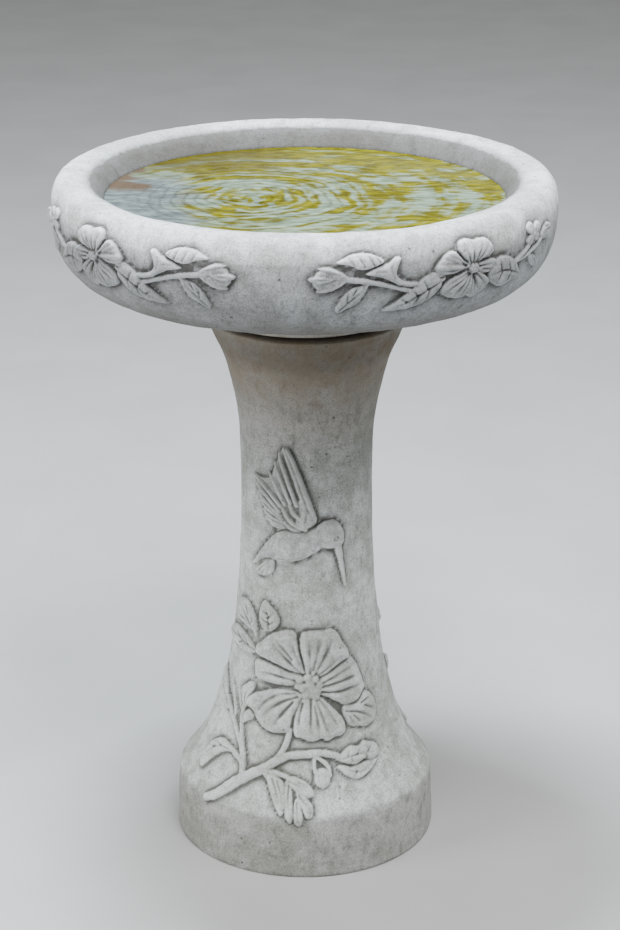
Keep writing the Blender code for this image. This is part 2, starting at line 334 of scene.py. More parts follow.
# The bird over the flower, drawn once; it is raised on the front and the back.
BIRD_STEP = 0.75
FEATHER_FULLNESS = 1.08     # of the half widths listed for the long feathers
FLOWER_STEP = 0.9
bird = Carving(-66, 48, 266, 424, BIRD_STEP)
WING_EDGE = ((9, 339), (7, 347), (4, 356), (1, 366), (-2, 377), (-6, 389), (-11, 400),
             (-16, 409), (-20, 413), (-24, 409), (-27, 401), (-31, 392), (-34, 382),
             (-43, 379), (-51, 381), (-52, 376), (-49, 368), (-48, 359), (-43, 350),
             (-41, 344), (-38, 338), (-33, 332), (-22, 331), (-8, 330), (2, 332))
bird.lobe(WING_EDGE, 2.0, edge=1.6, swell=2.0)
LONG_FEATHERS = (
    (((7, 341), (3, 354), (-2, 369), (-7.5, 385), (-13, 400), (-18, 411)), (2.6, 2.8, 2.6, 2.2, 1.5), 4.8),
    (((-2, 356), (-7, 371), (-12, 387), (-17, 401), (-21, 411)), (2.2, 2.4, 2.3, 1.5), 4.2),
    (((-9, 356), (-14, 370), (-19, 385), (-23.5, 399), (-25, 406)), (2.3, 2.4, 2.3, 1.5), 4.2),
    (((-15, 358), (-20, 370), (-25, 383), (-29.5, 396)), (2.1, 2.2, 2.1, 1.4), 3.8),
    (((-20, 356), (-26, 367), (-31, 377), (-36, 386)), (2.0, 2.0, 1.9, 1.3), 3.4),
    (((-24, 354), (-33, 364), (-42, 372.5), (-52.5, 379.5)), (2.2, 2.4, 2.3, 1.5), 4.4),
    (((-25, 348.5), (-33, 356.5), (-41, 363.5), (-50, 371)), (2.0, 2.1, 2.0, 1.3), 3.9),
    (((-24, 344.5), (-33, 350.5), (-41, 356.5), (-49, 362.5)), (1.9, 2.0, 1.9, 1.2), 3.6),
    (((-23, 341), (-31, 345.5), (-39, 350), (-46, 355)), (1.8, 1.8, 1.7, 1.1), 3.4),
    (((-22, 338), (-30, 340.5), (-37, 343.5), (-43, 347)), (1.7, 1.7, 1.6, 1.0), 3.2),
    (((-22, 335), (-29, 336), (-35, 337.5), (-40, 340.5)), (1.6, 1.6, 1.5, 1.0), 3.0),
    (((-21, 332.5), (-27, 332.4), (-33, 333.6)), (1.5, 1.5, 1.1), 2.8),
)
for path, widths, rise in LONG_FEATHERS:
    bird.strand(path, [FEATHER_FULLNESS * width for width in widths], rise, melt=0.5)
bird.lobe(((9, 338), (7, 346), (3.5, 355), (-1, 362.5), (-6, 364), (-9, 360), (-8, 354), (-9, 346),
           (-12, 339),
           (-10, 333), (0, 331)), 4.9, edge=4, swell=6, grooves=(((-3, 362), (-5, 350), (-7, 340)),
                                                                ((2, 358), (0, 348), (-1, 340))),
          cut=(1.3, 0.9))
bird.strand(((-1, 332), (-10, 336), (-17, 343), (-22, 352)), (3.0, 2.8, 2.0), 4.4, melt=1.5)
bird.strand(((-6, 330.5), (-14, 333), (-20, 338)), (2.6, 2.4, 1.7), 4.0, melt=1.5)
bird.strand(((-4, 341), (-11, 347), (-15, 355)), (3.0, 2.8, 2.0), 4.2, melt=1.5)
BODY_EDGE = ((14, 338), (6, 335), (-4, 332), (-14, 331.5), (-23, 330), (-31, 325), (-38, 317),
             (-45, 307), (-53, 296.5), (-58, 289), (-52, 289.5), (-44, 296), (-36, 299.5),
             (-26, 298), (-14, 299), (-2, 303), (6, 307.5), (13, 312), (18, 320), (18, 331))
bird.lobe(BODY_EDGE, 8.4, edge=8, swell=15)
bird.lobe(((9, 336), (15, 340), (24, 341), (30, 337), (34.5, 330), (36, 323), (35, 316.5), (30, 312.5),
           (24, 311), (16, 312.5), (10, 317), (7, 327)), 8.8, edge=7, swell=13, melt=3.0)
bird.strand(((28, 316), (30.5, 306), (33, 294), (35.4, 282), (37.4, 272)), (4.4, 3.4, 2.7, 2.1, 1.2), 5.2,
            melt=1.5)
bird.lobe(((-30, 299), (-36, 300), (-44, 296.5), (-52, 289.5), (-56, 285), (-52, 281.5), (-47, 279.5),
           (-40, 281), (-35, 283.5), (-31, 289)), 3.4, edge=1.8, cut=(0.9, 1.3),
          grooves=(((-35, 298), (-43, 290), (-50, 283)), ((-34, 297), (-40, 289), (-45, 281)),
                   ((-33, 296), (-37, 289), (-39, 282)), ((-37, 299), (-46, 292), (-54, 285))))
bird.strand(((-28, 302.5), (-23, 305.5), (-17, 303.5)), (1.6, 2.2, 1.4), 8.0, melt=1.5)
bird.strand(((-26, 299.5), (-22, 301.5), (-18, 300.5)), (1.3, 1.6, 1.2), 6.0, melt=1.0)
eye_s, eye_z = np.meshgrid(bird.s - 25, bird.z - 323.5)
eye_gap = np.hypot((eye_s * 0.88 + eye_z * 0.48) / 3.5, (eye_z * 0.88 - eye_s * 0.48) / 2.6)
bird.rise += 0.9 * np.exp(-((eye_gap - 1.1) / 0.28) ** 2) - 1.5 * np.exp(-((eye_gap - 0.6) / 0.25) ** 2)
bird.finish(0.5, 3.2)

flower = Carving(-136, 92, 44, 264, FLOWER_STEP)
# Stems and leaves lie lowest, the five ribbed petals and the stamens over them.
flower.strand(((-107, 61), (-96, 66), (-84, 73), (-68, 82.5), (-52, 91.5), (-40, 98), (-28, 106),
               (-16, 112), (0, 114), (14, 114.5), (27, 111.5), (38, 107)),
              (3.4, 3.8, 4.6, 4.8, 4.4, 4.0, 4.0, 3.8, 3.2, 2.6), 5.2)
flower.strand(((-36, 101), (-28, 108), (-22, 115), (-18, 124), (-14.5, 136)), (3.2, 3.0, 3.0, 3.4), 4.0,
              melt=2.0)
flower.strand(((-62.5, 88), (-63, 98), (-64, 110), (-66, 123), (-66.5, 136), (-64, 147)),
              (4.6, 4.2, 3.6, 2.8, 2.6, 2.6), 4.6, melt=2.0)
flower.strand(((-63, 106), (-68, 117), (-74, 127), (-81, 137), (-90, 148)), (3.4, 3.2, 2.8, 2.4), 4.2,
              melt=2.0)
flower.strand(((-63, 96), (-67, 100.5), (-73, 104), (-80, 106)), (3.6, 3.0, 2.6), 3.8, melt=2.0)
LEAVES = (
    # long leaf at the lower left, folded along its rib
    (((-67, 98), (-71, 104), (-78, 108.5), (-88, 111), (-99, 108.5), (-111, 102), (-121, 93),
      (-128, 83), (-125, 77), (-116, 82), (-106, 89), (-97, 95), (-88, 100), (-79, 102.5), (-73, 99)),
     4.4, 2.2, (((-120, 86), (-106, 97), (-92, 103.5), (-76, 104)), ((-113, 97), (-103, 99.5)),
                ((-101, 105.5), (-93, 104)))),
    # leaf at the far left
    (((-86, 141), (-92, 152), (-99, 163), (-107, 170), (-113, 162), (-109, 150), (-99, 141), (-91, 136)),
     4.2, 2.4, (((-108, 163), (-99, 151), (-90, 142)), ((-109, 154), (-101, 152)))),
    (((-76, 134), (-80, 145), (-84, 157), (-88, 168), (-83, 163), (-78, 153), (-74, 142)), 3.4, 1.8, ()),
    # two leaves at the upper left
    (((-51, 215), (-55, 221), (-62, 224), (-72, 225), (-80, 230), (-82, 240), (-78, 248), (-69, 251),
      (-61, 249), (-55, 243), (-51, 234), (-49, 224)),
     4.6, 3.4, (((-74, 245), (-62, 233), (-51, 219)), ((-77, 233), (-67, 231)), ((-66, 249), (-61, 238)),
                ((-56, 240), (-56, 231)))),
    (((-50, 204), (-55, 211), (-65, 217), (-78, 220), (-91, 217.5), (-101, 210), (-96, 203),
      (-84, 200), (-70, 198.5), (-58, 199)),
     4.2, 2.8, (((-95, 210), (-75, 210), (-52, 205)), ((-84, 216), (-73, 211)), ((-80, 202.5), (-70, 207)),
                ((-66, 214), (-60, 208)))),
    # leaf behind the lower right of the bloom
    (((36, 156), (48, 157), (57, 163), (64, 162.5), (70, 157.5), (75, 149), (76, 141), (73, 133),
      (64, 130.5), (55, 132), (46, 134), (39, 138), (35, 146)),
     4.6, 2.2, (((71, 134), (62, 141), (50, 147), (38, 150)), ((74, 143), (66, 147), (58, 151)),
                ((69, 156), (62, 156), (54, 154)), ((59, 133), (52, 139), (46, 145)),
                ((47, 136), (42, 144)))),
    # ruffled leaf at the end of the main stem
    (((29, 101), (34, 96), (42, 90.5), (52, 87), (61, 89), (69, 93), (75, 99), (66, 101), (54, 100),
      (44, 99), (36, 102)), 4.4, 1.8, (((66, 96), (56, 92.5), (44, 95)), ((48, 89), (50, 94)))),
    (((28, 108), (34, 113), (43, 117.5), (52, 116), (58, 119), (66, 116), (73, 113), (77, 106), (74, 100.5),
      (66, 99), (59, 102), (50, 99.5), (42, 101.5), (34, 104)), 5.4, 2.2,
     (((72, 106), (58, 108), (44, 108), (32, 107)), ((53, 114.5), (50, 109)), ((67, 114), (62, 109)),
      ((62, 101), (60, 106)), ((46, 101), (44, 106)), ((41, 115), (40, 109)))),
    # hanging lily: back petals, then the front ones
    (((-18, 92), (-21.5, 80), (-20, 66), (-16, 57), (-11.5, 58), (-11, 70), (-12, 81), (-12, 90)),
     3.6, 2.0, (((-15, 62), (-16, 76), (-15, 89)),)),
    (((-10, 75), (-5, 76), (-2.5, 68), (-1.5, 60), (-5, 54), (-11, 59)), 3.6, 1.8,
     (((-6, 58), (-7, 66), (-8, 74)),)),
    (((-9, 82), (-2, 80.5), (4, 76), (8, 70), (7, 63), (1, 62), (-4, 70)), 4.0, 1.8,
     (((5, 65), (1, 72), (-6, 79)),)),
    (((-19, 94), (-10, 94.5), (-1, 91.5), (5, 87), (9, 80.5), (5, 77), (-3, 79), (-10, 82.5), (-16, 88)),
     4.8, 2.0, (((6, 80.5), (-4, 86), (-15, 90)), ((3, 86), (-6, 89.5)))),
    (((-43, 95), (-37, 88), (-34, 80), (-30, 71), (-24, 63), (-19, 67), (-17.5, 79), (-19, 88),
      (-26, 94.5), (-34, 97)), 4.8, 2.2, (((-24.5, 70), (-27, 81), (-31, 91)),
                                          ((-21, 72), (-23, 80), (-26, 89)))),
)
for outline, rise, edge, grooves in LEAVES:
    flower.lobe(outline, rise, edge=edge, swell=5.5, grooves=grooves, cut=(1.5, 1.7))
flower.strand(((-40, 96.5), (-28, 96), (-17, 94)), (3.4, 2.8, 2.2), 4.4, melt=1.5)
# hanging bud with its hooked stalk
flower.strand(((8, 112.5), (13, 109.5), (18.5, 105.5), (22.5, 100), (23.5, 94)), (2.4, 2.2, 2.0, 1.8), 4.0)
flower.strand(((8.5, 110), (8.5, 103), (10, 97), (12, 92)), (2.0, 1.9, 2.2), 3.6)
flower.lobe(((9, 99), (8, 92), (11, 86.5), (17, 84), (23, 88), (24, 96), (19, 101), (13, 101.5)), 5.0, edge=3,
            swell=5, grooves=(((16, 86), (12.5, 91), (12, 98)), ((20, 89), (19, 98))), cut=(1.2, 1.3))
# left bud, its second petal and its calyx
flower.lobe(((-66, 132), (-64, 142), (-57, 148), (-50.5, 143.5), (-53, 139), (-60, 135)), 4.0, edge=1.8)
flower.lobe(((-68, 144), (-72, 152), (-74, 162), (-69, 161), (-65, 152)), 4.0, edge=2.0)
flower.lobe(((-64, 147), (-68, 155), (-69, 164), (-63, 169), (-57, 173.5), (-51, 173), (-52, 163),
             (-54, 156), (-58, 150)), 5.4, edge=3.0, swell=6, cut=(1.3, 1.6),
            grooves=(((-54, 169), (-60, 161), (-62, 151)), ((-65, 163), (-66, 156)),
                     ((-55, 162), (-58, 155))))
# serrated leaf above the flower
flower.lobe(((-41, 257), (-35, 253.5), (-29, 248), (-25.5, 240), (-28, 232), (-35, 227), (-43, 228.5),
             (-48, 236), (-47.5, 247), (-45, 253)), 5.0, edge=2.4, swell=6, cut=(1.4, 1.9),
            grooves=(((-41, 255), (-37, 243), (-36, 229)), ((-31, 247), (-34, 243), (-37, 240)),
                     ((-28, 239), (-32, 237), (-36, 234)), ((-46, 249), (-42, 246), (-38, 244)),
                     ((-47, 239), (-42, 238), (-37, 236))))
HEART = (3, 176)
PETALS = (
    # the narrow petal at the left
    (((-4, 188), (-14, 190.5), (-24, 194), (-36, 197.5), (-47, 198), (-52, 195), (-52, 187), (-50.5, 179.5),
      (-40, 177), (-25, 176.5), (-10, 178)), 5.0, 3.4, 0.2,
     (((-47, 185.5), (-34, 186.5), (-20, 184.5), (-8, 182)),), (2.0, 2.0)),
    # upper left: a broad fold over a lower one
    (((-1, 189), (-12, 190.5), (-24, 194.5), (-36, 198.5), (-46, 200.5), (-51, 204), (-50, 211), (-44, 216.5),
      (-38, 222.5), (-29, 228.5), (-19, 232), (-11, 230.5), (-8, 222), (-6, 208), (-2, 194)), 6.8, 4.2, 0.8,
     (((-35, 222), (-26, 211.5), (-17, 202), (-6, 191)), ((-31, 224), (-22, 214), (-13, 203.5)),
      ((-14, 228), (-12, 214), (-6, 199))), (2.5, 2.5)),
    # upper right: a cupped middle between two folds
    (((0, 187), (-3, 200), (-6, 212), (-7, 223), (-4, 230), (4, 232), (14, 232), (23, 232.5), (28.5, 229),
      (33, 221), (38, 213), (41.5, 206.5), (41, 200.5), (34, 197.5), (25, 192), (14, 186)), 7.0, 4.2, 0.8,
     (((24, 224), (18.5, 211), (12, 197), (8, 187)), ((1.5, 227), (2.5, 210), (3.5, 190)),
      ((12, 226), (9.5, 210), (6.5, 193)), ((36, 205), (25, 199), (12, 188))), (2.6, 2.3)),
    # lower left, with three long ribs
    (((-3, 170), (-11, 172.5), (-21, 173.5), (-33, 172), (-43, 168), (-53, 164), (-61, 157), (-62, 150),
      (-54, 148), (-49, 141), (-42, 134.5), (-33, 131.5), (-22, 132), (-14, 134.5), (-11, 146), (-5, 159)),
     6.8, 3.6, 0.2,
     (((-48, 146), (-38, 159), (-25, 168), (-10, 170.5)), ((-44, 142), (-31, 155), (-20, 162.5), (-8, 167)),
      ((-31, 137), (-22, 150), (-12, 162))), (2.3, 2.6)),
    # right, with three ribs
    (((9, 182), (20, 189), (32, 197), (41.5, 202), (47, 197.5), (52, 190), (55, 182), (57.5, 176),
      (60.5, 168.5), (56, 162), (49, 156.5), (38, 155.5), (28, 160.5), (19, 166), (9, 170)), 6.8, 3.6, 0.3,
     (((48, 194), (36, 190), (24, 184), (14, 179)), ((53.5, 185), (39, 181), (26, 178.5), (15, 176)),
      ((57, 174), (42, 171.5), (28, 170), (15, 171))), (2.3, 2.5)),
    # bottom, with a waved rim
    (((-3, 167), (-8.5, 158), (-11.5, 147), (-12, 136), (-9.5, 130), (-4.5, 129), (2.5, 126), (9, 125.5),
      (15, 127.5), (21, 125), (28, 128), (34, 128.5), (38.5, 132), (38, 139), (34.5, 146), (28, 153),
      (20, 161), (11, 168)), 7.4, 3.4, 0.2,
     (((4.5, 129), (4.5, 143), (4.5, 155), (4.5, 166)), ((21.5, 129), (16.5, 143), (12.5, 155), (9, 166)),
      ((33, 133), (25, 146), (17, 158), (12, 165)), ((-7, 133), (-6, 147), (-3, 161)),
      ((13, 129), (11, 143), (8, 158))), (2.1, 2.2)),
)
for outline, rise, edge, sag, grooves, cut in PETALS:
    flower.lobe(outline, rise, edge=edge, sag=sag, root=HEART, reach=32, low=0.45, grooves=grooves, cut=cut)
STAMENS = ((6, 172.5, 8.05, 5.4), (-3, 176, 5.29, 4.68), (-6, 183.5, 4.37, 4.14), (1, 185, 4.6, 4.5),
           (8, 183.5, 4.37, 4.14), (12, 178, 4.14, 4.14), (-8, 177, 3.45, 3.6), (3, 179, 5.06, 5.22),
           (-1, 169, 4.37, 4.14), (9, 167.5, 4.14, 3.96))
for s, z, radius, rise in STAMENS:
    flower.bead((s, z), radius, rise, melt=2.5)
flower.finish(0.5, 3.2)


def mesh_from_carving(name, carving, place, flip):
    """A closed shell of the carved places: the carving on top, a back 2.5 mm
    inside the stone, and walls round every edge.  `place` gives world points
    from (s, z, rise) in millimetres."""
    shown = carving.rise > Carving.SUNK + 0.3
    cells = shown[:-1, :-1] | shown[1:, :-1] | shown[:-1, 1:] | shown[1:, 1:]
    cells[0, :] = cells[-1, :] = False
    cells[:, 0] = cells[:, -1] = False
    for _ in range(3):
        a, b, c, d = cells[:-1, :-1], cells[1:, 1:], cells[:-1, 1:], cells[1:, :-1]
        c |= a & b & ~d
        a |= c & d & ~b
    rows, cols = carving.rise.shape
    s, z = np.meshgrid(carving.s, carving.z)
    front = place(s, z, carving.rise).reshape(-1, 3)
    back = place(s, z, np.full_like(s, -2.5)).reshape(-1, 3)
    top = np.arange(rows * cols).reshape(rows, cols)
    under = top + rows * cols
    i, j = np.nonzero(cells)

    def wall(missing, first, second):
        """Walls between two corners of each cell that has no neighbour there."""
        u, v = i[missing], j[missing]
        p, q = (u + first[0], v + first[1]), (u + second[0], v + second[1])
        return np.stack([top[q], top[p], under[p], under[q]], axis=-1)

    quads = np.concatenate([
        np.stack([top[i, j], top[i, j + 1], top[i + 1, j + 1], top[i + 1, j]], axis=-1),
        np.stack([under[i, j], under[i + 1, j], under[i + 1, j + 1], under[i, j + 1]], axis=-1),
        wall(~cells[i - 1, j], (0, 0), (0, 1)),
        wall(~cells[i, np.minimum(j + 1, cols - 2)], (0, 1), (1, 1)),
        wall(~cells[np.minimum(i + 1, rows - 2), j], (1, 1), (1, 0)),
        wall(~cells[i, j - 1], (1, 0), (0, 0)),
    ])
    used, packed = np.unique(quads, return_inverse=True)
    quads = packed.reshape(-1, 4)
    hollow = np.concatenate([carving.hollow.ravel(), np.zeros(rows * cols)])[used]
    proud = np.concatenate([carving.proud.ravel(), np.zeros(rows * cols)])[used]
    points = np.concatenate([front, back])[used]
    return make_mesh(name, points, [quads[:, ::-1] if flip else quads],
                     {"hollow": hollow, "proud": proud})


def on_side(side, turn, hand, arc_radius, s, z, rise):
    """World points of places on a turned side.  The azimuth is `turn` plus s over
    the radius there (or over arc_radius), the point is moved out along the
    side's slope by the rise, and the casting's wobble is added."""
    heights, radii = side[::-1, 1], side[::-1, 0]
    slope = np.gradient(radii, heights)
    radius = np.interp(z * MM, heights, radii)
    lean = np.interp(z * MM, heights, slope)
    azimuth = math.radians(turn) + hand * s * MM / (arc_radius or radius)
    across, up = 1 / np.hypot(1, lean), -lean / np.hypot(1, lean)
    plain = np.stack([radius * np.sin(azimuth), -radius * np.cos(azimuth), z * MM], axis=-1)
    out = rise * MM + casting_wobble(plain)
    reach = radius + out * across
    return np.stack([reach * np.sin(azimuth), -reach * np.cos(azimuth), z * MM + out * up], axis=-1)


MOTIF_TURNS = (0, 180)
pedestal_side = smooth_path(PEDESTAL_SIDE, 14)
foot_round = np.array([(0.1254, 0.0014), (0.1244, 0.0003), (0.1230, 0.0000)])
head_round = np.array([(0.0890, HEAD_TOP), (0.0912, HEAD_TOP - 0.0004)])
core_line = spaced(PEDESTAL_CORE, 0.008)
socket_line = spaced(((SOCKET_RADIUS, HEAD_TOP - SOCKET_DEPTH), (SOCKET_RADIUS, HEAD_TOP - 0.001),
                      (SOCKET_RADIUS + 0.001, HEAD_TOP), (0.0885, HEAD_TOP)), 0.006)
pedestal_outline = np.concatenate([pedestal_side, foot_round, core_line, socket_line[:-1], head_round])
pedestal_points = turned_points(pedestal_outline, PEDESTAL_COLUMNS)
outside_rows = len(pedestal_side)
amount = np.concatenate([np.ones(outside_rows), np.zeros(len(pedestal_outline) - outside_rows)])


def halo_round(carvings, turns_and_hands, outline, columns, arc_radius=None):
    """Darkening on the plain side round each carving, partly dark wash and partly painted shade, at every
    turned point.
    """
    halo = np.zeros((len(outline), columns))
    azimuth = 2 * math.pi * np.arange(columns) / columns
    for turn, hand in turns_and_hands:
        away = (azimuth - math.radians(turn) + math.pi) % (2 * math.pi) - math.pi
        radius = np.full((len(outline), 1), arc_radius) if arc_radius else outline[:, :1]
        s = hand * away[None, :] * radius / MM
        z = np.repeat(outline[:, 1:2] / MM, columns, axis=1)
        for carving in carvings:
            halo = np.maximum(halo, carving.sample(carving.hollow, s, z))
    return halo


# Darkening round the carvings: partly dark wash, partly painted shade.
pedestal_halo = halo_round((bird, flower), [(t, 1) for t in MOTIF_TURNS], pedestal_outline, PEDESTAL_COLUMNS)
pedestal_halo[outside_rows:] = 0
pedestal_points = wobbled(pedestal_points, pedestal_outline, True, amount)
pedestal = make_mesh(
    "pedestal_stone_body", leaned(pedestal_points).reshape(-1, 3),
    [ring_quads(len(pedestal_outline), PEDESTAL_COLUMNS, True)],
    {"hollow": pedestal_halo, "proud": np.zeros_like(pedestal_halo)},
)


def new_group(name, inputs, outputs):
    """A shader node group with named sockets: (name, type, value) inputs."""
    group = bpy.data.node_groups.new(name, "ShaderNodeTree")
    for label, kind, value in inputs:
        socket = group.interface.new_socket(label, in_out="INPUT", socket_type=kind)
        if value is not None:
            socket.default_value = value
    for label, kind in outputs:
        group.interface.new_socket(label, in_out="OUTPUT", socket_type=kind)
    return group, group.nodes.new("NodeGroupInput"), group.nodes.new("NodeGroupOutput")


class Wiring:
    """Short calls that add and join nodes in one tree."""

    def __init__(self, tree):
        self.tree = tree

    def feed(self, socket, source):
        """Join a socket to another, or set its value."""
        if isinstance(source, bpy.types.NodeSocket):
            self.tree.links.new(source, socket)
        else:
            socket.default_value = source

    def node(self, kind, settings=None, **sockets):
        """A node with its settings and its named sockets."""
        node = self.tree.nodes.new(kind)
        for key, value in (settings or {}).items():
            setattr(node, key, value)
        for key, value in sockets.items():
            self.feed(node.inputs[key.replace("_", " ")], value)
        return node

    def math(self, operation, a, b=0.0, clamp=False):
        """One Math node's result."""
        node = self.tree.nodes.new("ShaderNodeMath")
        node.operation = operation
        node.use_clamp = clamp
        self.feed(node.inputs[0], a)
        self.feed(node.inputs[1], b)
        return node.outputs[0]

    def ramp(self, value, low, high, to_low=0.0, to_high=1.0):
        """A value mapped smoothly from one range to another."""
        node = self.tree.nodes.new("ShaderNodeMapRange")
        node.interpolation_type = "SMOOTHSTEP"
        for index, source in enumerate((value, low, high, to_low, to_high)):
            self.feed(node.inputs[index], source)
        return node.outputs[0]

    def ramp_line(self, value, low, high):
        """A value mapped evenly from low..high to 0..1."""
        node = self.tree.nodes.new("ShaderNodeMapRange")
        for index, source in enumerate((value, low, high, 0.0, 1.0)):
            self.feed(node.inputs[index], source)
        return node.outputs[0]

    def mix(self, factor, a, b, blend="MIX"):
        """Two colours mixed by a factor."""
        node = self.tree.nodes.new("ShaderNodeMix")
        node.data_type = "RGBA"
        node.blend_type = blend
        self.feed(node.inputs["Factor"], factor)
        self.feed(node.inputs[6], a)
        self.feed(node.inputs[7], b)
        return node.outputs[2]

    def grey(self, value):
        """A colour with the same value in all three channels."""
        return self.node("ShaderNodeCombineColor", None, Red=value, Green=value, Blue=value).outputs[0]

    def noise(self, vector, scale, detail=2.0, roughness=0.5):
        """Noise from 0 to 1."""
        node = self.node("ShaderNodeTexNoise", None, Vector=vector, Scale=scale, Detail=detail,
                         Roughness=roughness)
        return node.outputs["Fac"]

    def stretched(self, vector, scale):
        """Coordinates scaled by a different amount along each axis."""
        node = self.node("ShaderNodeMapping", {"vector_type": "POINT"}, Vector=vector)
        node.inputs["Scale"].default_value = scale
        return node.outputs["Vector"]


def build_cast_stone():
    """Cast stone: mottled paste with sand grain, air pits and brushed-on dark wash that stays in pits. In
    hollows and round carvings the darkening is partly that wash and partly painted shade; what stands proud
    is lightened, partly where wash is rubbed off and partly as painted highlight. A brown mixed in by height
    paints shade under the bowl and marks soil low on the base, and a brightness by height paints light and
    shade."""
    group, inside, outside = new_group(
        "cast_stone",
        [("Vector", "NodeSocketVector", None), ("Hollow", "NodeSocketFloat", 0.0),
         ("Proud", "NodeSocketFloat", 0.0), ("ShadeAndSoil", "NodeSocketFloat", 0.0),
         ("PaintedLightAndShade", "NodeSocketFloat", 1.0),
         ("Pale", "NodeSocketColor", (0.5, 0.5, 0.5, 1)), ("Deep", "NodeSocketColor", (0.35, 0.35, 0.35, 1)),
         ("Wash", "NodeSocketColor", (0.08, 0.08, 0.07, 1)),
         ("Soil", "NodeSocketColor", (0.2, 0.17, 0.12, 1))],
        [("Colour", "NodeSocketColor"), ("Roughness", "NodeSocketFloat"), ("Height", "NodeSocketFloat")],
    )
    w = Wiring(group)
    place = inside.outputs["Vector"]
    broad = w.noise(place, 11.0, 4.0, 0.55)
    blotch = w.noise(place, 55.0, 4.0, 0.6)
    sand = w.noise(place, 650.0, 2.0, 0.6)
    brush = w.noise(w.stretched(place, (34.0, 34.0, 300.0)), 1.0, 3.0, 0.55)
    pits = w.node("ShaderNodeTexVoronoi", {"feature": "F1"}, Vector=place, Scale=150.0)
    chosen = w.ramp(w.node("ShaderNodeSeparateColor", None, Color=pits.outputs["Color"]).outputs[0], 0.95,
                    0.97)
    pit = w.math("MULTIPLY", w.ramp(pits.outputs["Distance"], 0.26, 0.10), chosen)
    pores = w.node("ShaderNodeTexVoronoi", {"feature": "F1"}, Vector=place, Scale=420.0)
    picked = w.ramp(w.node("ShaderNodeSeparateColor", None, Color=pores.outputs["Color"]).outputs[1], 0.62,
                    0.7)
    pore = w.math("MULTIPLY", w.ramp(pores.outputs["Distance"], 0.34, 0.12), picked)
    tone = w.math("ADD", w.math("MULTIPLY", broad, 0.55), w.math("MULTIPLY", blotch, 0.45))
    stone = w.mix(w.ramp(tone, 0.40, 0.60), inside.outputs["Deep"], inside.outputs["Pale"])
    stone = w.mix(w.ramp(brush, 0.45, 0.75, 0.0, 0.13), stone, inside.outputs["Wash"])
    smudge = w.noise(w.stretched(place, (80.0, 80.0, 42.0)), 1.0, 5.0, 0.65)
    smudge = w.math("MULTIPLY", w.ramp(smudge, 0.50, 0.70), w.ramp(broad, 0.40, 0.62))
    stone = w.mix(w.math("MULTIPLY", smudge, 0.44), stone, inside.outputs["Wash"])
    dabs = w.noise(w.stretched(place, (230.0, 230.0, 110.0)), 1.0, 3.0, 0.6)
    stone = w.mix(w.ramp(dabs, 0.48, 0.72, 0.0, 0.30), stone, inside.outputs["Wash"])
    speck = w.ramp(sand, 0.3, 0.72, 0.76, 1.20)
    stone = w.mix(1.0, stone, w.grey(speck), "MULTIPLY")
    broken = w.ramp(blotch, 0.25, 0.7, 0.55, 1.1)
    # Darkening in hollows and round carvings: partly kept wash, partly painted shade; pits and pores hold
    # wash.
    kept = w.math("MULTIPLY", inside.outputs["Hollow"], broken, clamp=True)
    kept = w.math("MAXIMUM", kept, w.math("MULTIPLY", pit, 0.75))
    kept = w.math("MAXIMUM", kept, w.math("MULTIPLY", pore, 0.4))
    # A brown mixed in by height: painted shade under the bowl, and soil low on the pedestal's base.
    stone = w.mix(w.math("MULTIPLY", inside.outputs["ShadeAndSoil"], w.ramp(blotch, 0.2, 0.7, 0.45, 1.0),
                         clamp=True),
                  stone, inside.outputs["Soil"])
    stone = w.mix(w.math("MULTIPLY", kept, 0.86, clamp=True), stone, inside.outputs["Wash"])
    # Lightening of what stands proud: partly wash rubbed off, partly painted highlight.
    stone = w.mix(w.math("MULTIPLY", inside.outputs["Proud"], 0.60, clamp=True), stone,
                  inside.outputs["Pale"])
    # Brightness by height, multiplied in: it paints light and shade into the colour.
    stone = w.mix(1.0, stone, w.grey(inside.outputs["PaintedLightAndShade"]), "MULTIPLY")
    height = w.math("ADD", w.math("MULTIPLY", sand, 0.40), w.math("MULTIPLY", blotch, 1.1))
    height = w.math("ADD", height, w.math("MULTIPLY", brush, 0.35))
    slant = w.node("ShaderNodeVectorMath", {"operation": "DOT_PRODUCT"})
    w.feed(slant.inputs[0], place)
    w.feed(slant.inputs[1], (2100.0, 700.0, 2300.0))
    hatch = w.math("SINE", w.math("ADD", slant.outputs["Value"], w.math("MULTIPLY", blotch, 9.0)))
    tooled = w.ramp(w.noise(place, 17.0, 2.0, 0.5), 0.56, 0.64)
    height = w.math("ADD", height, w.math("MULTIPLY", w.math("MULTIPLY", hatch, tooled), 0.14))
    height = w.math("SUBTRACT", height, w.math("MULTIPLY", pit, 1.6))
    height = w.math("SUBTRACT", height, w.math("MULTIPLY", pore, 0.6))
    w.feed(outside.inputs["Colour"], stone)
    w.feed(outside.inputs["Roughness"], w.ramp(sand, 0.2, 0.8, 0.78, 0.95))
    w.feed(outside.inputs["Height"], height)
    return group


cast_stone = build_cast_stone()


def new_material(name):
    """A node material, its Principled shader, and the calls that wire its tree."""
    material = bpy.data.materials.new(name)
    material.use_nodes = True
    return material, material.node_tree.nodes["Principled BSDF"], Wiring(material.node_tree)


